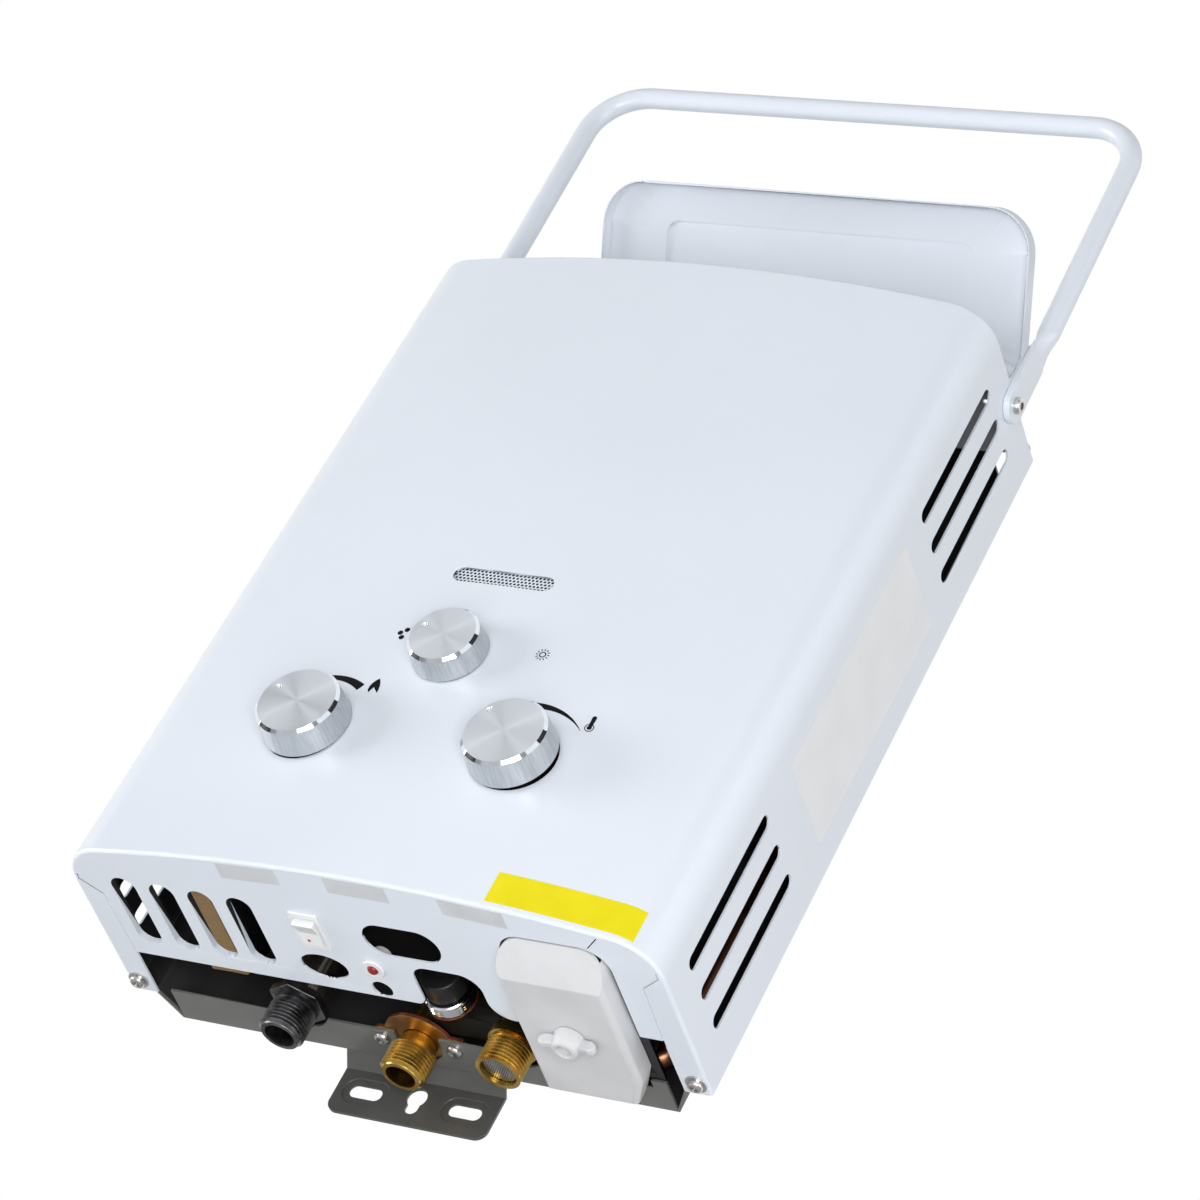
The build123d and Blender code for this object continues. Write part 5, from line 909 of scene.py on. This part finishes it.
class HEATER_OT_scales(bpy.types.Operator):
    """Printed tapering scales and pictograms beside the knobs"""

    bl_idname = "heater.scales"
    bl_label = "Scales and Pictograms"

    def execute(self, context):
        def printed(name, x, z, marks, faces, lift=0.03):
            """A print on the cover's front. Marks are (right, up) points round a place."""
            points = [(x + u, AHEAD, z + v) for u, v in marks]
            laid_on("front_cover", name, faces, points, (0, 1, 0), "black_print", "black_plastic", lift)

        def scale(name, x, sweep, radii, widths):
            """A band round a knob, that grows or fades."""
            count = 28
            marks = []
            for i in range(count + 1):
                turn, radius, width = (a + (b - a) * i / count for a, b in (sweep, radii, widths))
                marks += [around(r, radians(turn)) for r in (radius - width / 2, radius + width / 2)]
            printed(name, x, KNOB_Z, marks, [[2 * i, 2 * i + 2, 2 * i + 3, 2 * i + 1] for i in range(count)])

        def figure(name, outline, x, z, centre=(0, 0), lift=0.03):
            """A filled sign: its outline as seen from its own centre."""
            printed(name, x, z, (centre, *outline), fan(len(outline)), lift)

        def disc(name, x, z, radius, sides=20):
            figure(name, [around(radius, 2 * pi * i / sides) for i in range(sides)], x, z)

        def ring(name, x, z, radius, width, sides=28):
            marks, faces = [], []
            for i in range(sides):
                marks += [around(r, 2 * pi * i / sides) for r in (radius - width / 2, radius + width / 2)]
                j = (i + 1) % sides
                faces.append([2 * i, 2 * i + 1, 2 * j + 1, 2 * j])
            printed(name, x, z, marks, faces)

        scale("fire_scale", FIRE_X, (118, 58.5), (28.1, 27.8), (1.2, 4.2))
        scale("water_scale", WATER_X, (104, 41), (27.5, 29.2), (4.0, 0.15))
        # flame: a pointed leaf with a notch cut up from its foot
        figure("flame_sign", [
            (0.0, 4.8), (-1.2, 3.4), (-2.2, 1.6), (-2.7, -0.4), (-2.6, -2.2), (-1.6, -3.6), (-1.0, -1.9),
            (-0.3, -0.4), (0.9, -1.7), (2.7, -3.4), (2.6, -1.4), (2.2, 0.8), (1.5, 2.6), (0.8, 3.8),
        ], -33.1, FLOOR + 103, (-0.2, 1.2))
        bulb = (73.0, FLOOR + 99.7)
        ring("thermometer_bulb_ring", *bulb, 1.95, 0.42)
        disc("thermometer_bulb", *bulb, 1.1)
        figure("thermometer_stem", [
            (-0.75, -0.4), (0.75, -0.4), (1.05, 5.4), (0.7, 6.1), (0.0, 6.4), (-0.7, 6.1), (-1.05, 5.4),
        ], 73.1, FLOOR + 99.9, (0, 2.5), 0.05)
        for i, (x, z) in enumerate(((-36.5, 134.8), (-33.9, 136.8), (-34.7, 132.3))):
            disc(f"winter_dot_{i}", x, FLOOR + z, 1.4, 6)
        sun = (35.4, FLOOR + 133.3)
        ring("summer_sun", *sun, 1.35, 0.5)
        for i in range(12):
            turn = 2 * pi * i / 12
            near, middle, far = (Vector(around(radius, turn)) for radius in (2.25, 2.7, 3.2))
            side = Vector((0.24 * sin(turn), -0.24 * cos(turn)))
            figure(f"summer_ray_{i}", [near + side, far + side, far - side, near - side], *sun, middle)
        return {"FINISHED"}


class HEATER_OT_films(bpy.types.Operator):
    """Blank films on the cover: the plain strips over the ports, the yellow strip and the side film"""

    bl_idname = "heater.films"
    bl_label = "Blank Films"

    def execute(self, context):
        def film(name, corners, columns, rows, looks, finish):
            """A four-cornered film, with enough rows to follow the cover."""
            laid_on("front_cover", name, grid_faces(columns, rows), patch(corners, columns, rows), looks,
                    finish, "white_plastic")

        strip_y, depth = REAR - 105, 9.5    # front edge of a strip at the crown's middle, and front to back
        for name, x0 in (("gas_port_strip", -61), ("hot_port_strip", -7), ("cold_port_strip", 48)):
            x1 = x0 + 30
            y0, y1 = (strip_y + CROWN - sqrt(CROWN ** 2 - x ** 2) for x in (x0, x1))
            film(name, ((x0, y0 + depth, 0), (x1, y1 + depth, 0), (x1, y1, 0), (x0, y0, 0)), 7, 3,
                 (0, 0, 1), "grey_film")
        x0, x1, low, high = 69.4, 135, FLOOR + 3, FLOOR + 18.5
        film("yellow_strip", ((x0, AHEAD, low), (x1, AHEAD, low), (x1, AHEAD, high), (x0, AHEAD, high)),
             45, 3, (0, 1, 0), "yellow_film")
        x, front, back, low, high = HALF + 5, REAR - 65, REAR - 15, FLOOR + 126, FLOOR + 257
        film("side_film", ((x, front, low), (x, back, low), (x, back, high), (x, front, high)), 3, 3,
             (-1, 0, 0), "pale_film")
        return {"FINISHED"}


class HEATER_OT_window(bpy.types.Operator):
    """Perforated mesh behind the viewing window"""

    bl_idname = "heater.window"
    bl_label = "Window Mesh"

    def execute(self, context):
        pitch = context.scene.heater_fittings.hole_pitch
        lo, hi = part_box("window_mesh")
        piece = perforated("window_screen", pitch, 0.35, int((hi.x - lo.x) / pitch), 8, "enamel")
        weld(piece, 0.0002)
        piece.data.transform(Matrix.Translation((lo + hi) / 2) @ Matrix.Rotation(pi / 2, 4, "X"))
        settle(smooth(piece, 30), "heater", "zinc_steel", "window_mesh")
        return {"FINISHED"}


def perforated(name, pitch, hole, columns, rows, finish):
    """A flat sheet of six-sided cells with a round hole each. Hole is its radius against the pitch."""
    work = bmesh.new()
    sides = 12
    outer, inner = [], []
    for i in range(sides):
        a = 2 * pi * i / sides + pi / 6
        reach = pitch / 2 / cos((a + pi / 6) % (pi / 3) - pi / 6)    # from the middle to the cell's side
        outer.append(work.verts.new((*around(reach, a), 0)))
        inner.append(work.verts.new((*around(pitch * hole, a), 0)))
    for i in range(sides):
        j = (i + 1) % sides
        work.faces.new((outer[i], outer[j], inner[j], inner[i]))
    cell = piece_from(name + "_cell", work)
    tree = bpy.data.node_groups.get("Perforated sheet") or perforation_tree()
    sheet = keep(name, points_mesh(name))
    grow(sheet, tree, cell=cell, columns=columns, rows=rows, pitch=pitch, finish=FINISHES[finish])
    bpy.data.objects.remove(cell)
    return sheet


def weld(piece, thick):
    """Join touching flat copies into one sheet and give it its thickness."""
    work = bmesh.new()
    work.from_mesh(piece.data)
    bmesh.ops.remove_doubles(work, verts=work.verts, dist=1e-5)
    grown = bmesh.ops.extrude_face_region(work, geom=work.faces[:])["geom"]
    raised = [part for part in grown if isinstance(part, bmesh.types.BMVert)]
    bmesh.ops.translate(work, verts=raised, vec=(0, 0, thick))
    bmesh.ops.recalc_face_normals(work, faces=work.faces)
    work.to_mesh(piece.data)
    work.free()


# --- Operators: fittings -------------------------------------------------------------------
def threaded(name, node, centre, end, top, bore, shapes, finish, slot, sizes):
    """A fitting with a wound thread, from its open end up. Heights are millimetres.
    Shapes are the (radius, height) points above the thread."""
    root = CREST - sizes.depth / MM
    start = end + 1.0
    profile = [(bore, end), (bore + 1.9, end), (root - 0.1, end + 0.9), (root, end + 1.1), (root, top)]
    profile += shapes
    profile.append((bore, profile[-1][1]))
    body = turned(name + "_body", profile, axis_basis((*centre, 0), (0, 0, 1)), 96, (finish,))
    ridge = sizes.pitch * 0.56
    turns = (top - 0.4 - start) / (sizes.pitch / MM)
    thread = keep(name + "_thread", points_mesh(name + "_thread"))
    grow(thread, bpy.data.node_groups.get("Wound thread") or thread_tree(), turns=turns,
         radius=CREST * MM - ridge * 0.98, length=turns * sizes.pitch, ridge=ridge, finish=FINISHES[finish])
    thread.data.transform(Matrix.Translation(Vector((*centre, start)) * MM))
    piece = joined(name, [body, smooth(thread, 40)])
    return settle(piece, "heater", slot, node)


class HEATER_OT_fittings(bpy.types.Operator):
    """Threaded gas and water fittings, inlet gauze, outlet flange and drain plug"""

    bl_idname = "heater.fittings"
    bl_label = "Threaded Fittings"

    def execute(self, context):
        sizes = context.scene.heater_fittings
        nut_r, nut_t = 12 / cos(pi / 6) * MM, 4 * MM
        hexagon = bmesh.new()
        bmesh.ops.create_cone(hexagon, cap_ends=True, segments=6, radius1=nut_r, radius2=nut_r, depth=nut_t,
                              matrix=Matrix.Translation(Vector((*GAS, FLOOR + 2)) * MM))
        nut = piece_from("gas_hexagon", hexagon, "gas_metal")
        soften(nut, 0.0005, 20)
        threaded("gas_nipple", "gas_inlet", GAS, FLOOR - 17.4, FLOOR - 3.2, 7.0,
                 [(10.2, FLOOR - 2.6), (10.2, FLOOR)], "gas_metal", "dark_fitting", sizes)
        settle(nut, "heater", "dark_fitting")
        threaded("cold_nipple", "water_inlet", COLD, FLOOR - 15, FLOOR - 1.2, 8.55,
                 [(11.4, FLOOR - 0.6), (11.45, FLOOR + 4)], "brass", "brass", sizes)
        threaded("hot_nipple", "water_outlet", HOT, FLOOR - 18.5, FLOOR - 4.4, 7.0,
                 [(9.0, FLOOR - 3.4), (8.6, FLOOR - 1.5), (8.0, FLOOR), (8.0, FLOOR + 16)],
                 "brass", "brass", sizes)
        gauze = perforated("inlet_gauze", 0.0011, 0.36, 17, 19, "zinc")
        gauze_r = 0.0081    # cells past this radius are dropped
        work = bmesh.new()
        work.from_mesh(gauze.data)
        outside = [f for f in work.faces if f.calc_center_median().xy.length > gauze_r]
        bmesh.ops.delete(work, geom=outside, context="FACES")
        work.to_mesh(gauze.data)
        work.free()
        weld(gauze, 0.0003)
        gauze.data.transform(Matrix.Translation(Vector((*COLD, FLOOR - 12.8)) * MM))
        settle(gauze, "heater", "zinc_steel", "inlet_filter")
        flange = smooth_copy("outlet_flange", "oval_flange", "flange_brass", "copper", 0.0003)
        flange.data.materials.append(FINISHES["washer"])
        for face in flange.data.polygons:
            if abs(face.normal.z) < 0.6:
                face.material_index = 1
        smooth_copy("drain_plug_body", "drain_ring", "chrome", "chrome", 0.0002)
        lo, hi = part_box("drain_plug_body")
        facing = axis_basis(((lo.x + hi.x) / 2 / MM, hi.y / MM, (lo.z + hi.z) / 2 / MM), (0, -1, 0))
        # three ribs round the drain plug, (radius, height) in millimetres
        ribs = [(10.2, 9.0)]
        for i in range(3):
            ribs += [(10.55, 9.1 + 1.2 * i), (11.1, 9.45 + 1.2 * i), (11.1, 9.75 + 1.2 * i),
                     (10.55, 10.1 + 1.2 * i)]
        ribs.append((10.2, 12.75))
        settle(turned("drain_ribs", ribs, facing, 72, ("chrome",)), "heater", "chrome")
        ring = [(6.2, 7.2), (11.0, 7.2), (11.1, 7.3), (11.1, 7.7), (11.0, 7.8), (6.2, 7.8)]
        settle(turned("drain_washer", ring, facing, 72, ("washer",)), "heater", "copper")
        smooth_copy("drain_plug_cap", "drain_cap_grip", "black_plastic", "black_plastic")
        return {"FINISHED"}


# --- Operators: switch, lamp and battery lid -----------------------------------------------
class HEATER_OT_switch(bpy.types.Operator):
    """Rocker switch with its red dot, and the indicator lamp"""

    bl_idname = "heater.switch"
    bl_label = "Switch and Lamp"

    def execute(self, context):
        smooth_copy("rocker_housing", "rocker_frame", "white_plastic", "white_plastic", 0.00025)
        smooth_copy("rocker_button", "rocker_cap", "white_plastic", "white_plastic", 0.00025)
        sides, dot_r, x, y = 16, 0.75, -28.2, -87.2
        rim = [around(dot_r, 2 * pi * i / sides) for i in range(sides)]
        laid_on("rocker_button", "rocker_dot", fan(sides), [(x + u, y + v, -40) for u, v in ((0, 0), *rim)],
                (0, 0, 1), "red_print", "red_lens")
        smooth_copy("lamp_holder", "lamp_ring", "white_plastic", "white_plastic", 0.0003)
        smooth_copy("lamp_lens", "lamp_glass", "red_lens", "red_lens")
        return {"FINISHED"}


class HEATER_OT_battery(bpy.types.Operator):
    """Milky battery lid and its wing screw"""

    bl_idname = "heater.battery"
    bl_label = "Battery Lid"

    def execute(self, context):
        smooth_copy("battery_lid", "battery_cover", "milky", "milky_plastic", 0.0004)
        lo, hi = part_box("lid_wing_screw")
        x, y = (lo.x + hi.x) / 2 / MM, (lo.y + hi.y) / 2 / MM
        seat = lo.z / MM + 7.6
        shank = hi.z / MM - seat
        hub = turned("wing_screw_hub", [
            (0, -shank), (2, -shank), (2, 0), (7.2, 0), (7.3, 0.5), (6.1, 6.0), (5.7, 7.0), (4.9, 7.6),
            (3.8, 7.6), (3.3, 7.1), (2.9, 4.8), (0, 4.6),
        ], axis_basis((x, y, seat), (0, 0, -1)), 64, ("milky",), closed=False)
        outline = [
            (4.4, 0.5), (11.0, 0.5), (12.8, 1.5), (13.6, 3.4),
            (12.9, 5.3), (11.0, 6.1), (8.6, 5.6), (4.4, 5.2),
        ]
        fins = bmesh.new()
        for side in (-1, 1):
            near, far = ([
                fins.verts.new(((x + side * u) * MM, (y + half) * MM, (seat - v) * MM)) for u, v in outline
            ] for half in (-1.9, 1.9))
            fins.faces.new(near)
            fins.faces.new(far)
            for i in range(len(outline)):
                j = (i + 1) % len(outline)
                fins.faces.new((near[i], near[j], far[j], far[i]))
        bmesh.ops.recalc_face_normals(fins, faces=fins.faces)
        wings = piece_from("wing_screw_fins", fins, "milky")
        smooth(wings)
        soften(wings, 0.0009, 30)
        grip = joined("wing_screw_grip", [hub, wings])
        settle(grip, BODY_OF["lid_wing_screw"], "milky_plastic", "lid_wing_screw")
        return {"FINISHED"}


class HEATER_OT_inner_works(bpy.types.Operator):
    """Finishes of the burner, exchanger, valves and the other inner pieces"""

    bl_idname = "heater.inner_works"
    bl_label = "Inner Works"

    def execute(self, context):
        for finish, slot, nodes in (
            ("steel_sheet", "zinc_steel", ("burner_frame", "burner_blades", "switch_bracket",
                                           "electrode_bracket", "box_contacts", "lid_contacts")),
            ("pale_sheet", "zinc_steel", ("exhaust_hood",)),
            ("zinc", "zinc_steel", ("handle_nuts", "cap_screws", "fire_stem", "season_stem", "push_rod",
                                    "microswitch_lever")),
            ("smoked_copper", "copper", ("heat_exchanger_shell",)),
            ("copper", "copper", ("heat_exchanger_fins", "cold_pipe", "heat_exchanger_pipe", "hot_pipe")),
            ("cast", "cast_aluminium", ("gas_manifold", "gas_valve_body")),
            ("zinc", "zinc_steel", ("water_stem",)),
            ("dull_brass", "brass", ("water_valve_body", "water_valve_cover")),
            ("black_plastic", "black_plastic", ("gas_solenoid", "microswitch", "ignition_box",
                                                "overheat_thermostat")),
            ("rubber", "black_rubber", ("valve_diaphragm",)),
            ("board", "tan_board", ("ignition_board",)),
            ("ceramic", "ceramic", ("ignition_electrodes",)),
            ("black_plastic", "black_plastic", ("battery_box",)),
            ("cell", "cell_jacket", ("battery_cells",)),
        ):
            for node in nodes:
                smooth_copy(node, f"{node}_finish", finish, slot)
        return {"FINISHED"}


# --- Stage ---------------------------------------------------------------------------------
class HEATER_OT_stage(bpy.types.Operator):
    """Floor, lamps, dark flags, white surroundings and the camera"""

    bl_idname = "heater.stage"
    bl_label = "Stage"

    def execute(self, context):
        settings = context.scene.heater_stage
        world = bpy.data.worlds.new("studio")
        context.scene.world = world
        world.use_nodes = True
        tree = world.node_tree
        tree.nodes.clear()
        rays = add(tree, "ShaderNodeLightPath").outputs
        seen = maths(tree, "MAXIMUM", rays["Is Camera Ray"], rays["Is Glossy Ray"])
        seen = maths(tree, "MAXIMUM", seen, rays["Is Transmission Ray"])
        soft = add(tree, "ShaderNodeBackground", Color=(1, 1, 1, 1), Strength=settings.sky)
        white = add(tree, "ShaderNodeBackground", Color=(1, 1, 1, 1), Strength=1)
        mix = add(tree, "ShaderNodeMixShader", seen, soft.outputs["Background"], white.outputs["Background"])
        add(tree, "ShaderNodeOutputWorld", Surface=mix.outputs["Shader"])

        middle = (0, -0.07, 0.15)
        for name, place, aim, size, power in (
            ("key_lamp", (1.15, -1.70, -1.15), middle, 1.0, settings.key),
            ("left_lamp", (-1.9, -0.9, -0.2), middle, 1.0, settings.left),
            ("right_lamp", (1.9, -0.4, 0.1), middle, 1.0, settings.right),
            ("low_lamp", (0.5, -0.9, -1.1), (0, -0.07, 0.1), 1.2, settings.low),
        ):
            light = bpy.data.lights.new(name, "AREA")
            light.size = size
            light.energy = power
            lamp = bpy.data.objects.new(name, light)
            lamp.location = place
            lamp.rotation_euler = turned_to(place, aim).to_euler()
            context.scene.collection.objects.link(lamp)

        cloth = finish_of("flag_cloth", (0.03, 0.03, 0.035), 0.9)
        for name, place, size in (
            ("tall_flag", (-1.3, -1.2, 0.5), 0.42),
            ("wide_flag", (1.30, -1.17, 1.15), 0.5),
            ("low_flag", (-1.55, -0.55, -0.45), 0.42),
        ):
            turn = turned_to(place, (0, -0.13, 0.1)).to_matrix().to_4x4()
            flag = sheet(name, size, Matrix.Translation(place) @ turn)
            flag.data.materials.append(cloth)
            flag.visible_camera = False
            flag.visible_diffuse = False
            flag.visible_shadow = False
            flag.visible_transmission = False

        floor = sheet("studio_floor", 6, Matrix.Translation((0, 0, settings.floor)))
        floor.data.materials.append(one_sided_floor())

        # the camera's place, its axes and its focal length
        lens = bpy.data.cameras.new("studio_camera")
        lens.sensor_width = 36
        lens.lens = 131.465
        lens.clip_start = 0.05
        camera = bpy.data.objects.new("studio_camera", lens)
        right = Vector((0.87091, 0.27628, 0.40643))
        down = Vector((0.11223, 0.69335, -0.71181))
        ahead = Vector((-0.47845, 0.66554, 0.57284))
        turn = Matrix((right, -down, -ahead)).transposed().to_4x4()
        camera.matrix_world = Matrix.Translation((0.94396, -1.37922, -0.89082)) @ turn
        context.scene.collection.objects.link(camera)
        context.scene.camera = camera
        context.scene.view_settings.view_transform = "Standard"
        return {"FINISHED"}


def turned_to(place, aim):
    """The turn that points a lamp or a flag from its place at an aim."""
    return (Vector(aim) - Vector(place)).to_track_quat("-Z", "Y")


def sheet(name, size, basis):
    """A flat square sheet. Size is half its side."""
    work = bmesh.new()
    bmesh.ops.create_grid(work, x_segments=1, y_segments=1, size=size, matrix=basis)
    return piece_from(name, work)


def one_sided_floor():
    """Pale floor that is seen from above and clear from below."""
    material = finish_of("pale_floor", (0.93, 0.93, 0.93), 0.7)
    tree = material.node_tree
    clear = add(tree, "ShaderNodeBsdfTransparent")
    side = add(tree, "ShaderNodeNewGeometry")
    mix = add(tree, "ShaderNodeMixShader", side.outputs["Backfacing"],
              tree.nodes["Principled BSDF"].outputs["BSDF"], clear.outputs["BSDF"])
    tree.links.new(mix.outputs["Shader"], tree.nodes["Material Output"].inputs["Surface"])
    return material


class HEATER_PT_finish(bpy.types.Panel):
    """Lists the heater's steps and their sizes"""

    bl_idname = "HEATER_PT_finish"
    bl_label = "Water Heater"
    bl_space_type = "VIEW_3D"
    bl_region_type = "UI"
    bl_category = "Water Heater"

    def draw(self, context):
        for kind in STEPS:
            self.layout.operator(kind.bl_idname)
        for name, settings in SETTINGS.items():
            box = self.layout.box()
            group = getattr(context.scene, name)
            for field in settings.__annotations__:
                box.prop(group, field)


SETTINGS = {
    "heater_enamel": EnamelSettings,
    "heater_knobs": KnobSettings,
    "heater_fittings": FittingSettings,
    "heater_stage": StageSettings,
}
STEPS = (
    HEATER_OT_cover, HEATER_OT_back, HEATER_OT_handle, HEATER_OT_rain_cap, HEATER_OT_screws,
    HEATER_OT_knobs, HEATER_OT_scales, HEATER_OT_films, HEATER_OT_window, HEATER_OT_fittings,
    HEATER_OT_switch, HEATER_OT_battery, HEATER_OT_inner_works, HEATER_OT_stage,
)


def register():
    for kind in (*SETTINGS.values(), *STEPS, HEATER_PT_finish):
        bpy.utils.register_class(kind)
    for name, kind in SETTINGS.items():
        setattr(bpy.types.Scene, name, PointerProperty(type=kind))


def unregister():
    for name in SETTINGS:
        delattr(bpy.types.Scene, name)
    for kind in reversed((*SETTINGS.values(), *STEPS, HEATER_PT_finish)):
        bpy.utils.unregister_class(kind)


def main():
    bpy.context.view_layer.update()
    register()
    mix_finishes()
    for kind in STEPS:
        group, _, name = kind.bl_idname.partition(".")
        getattr(getattr(bpy.ops, group), name)()


if __name__ == "__main__":
    main()
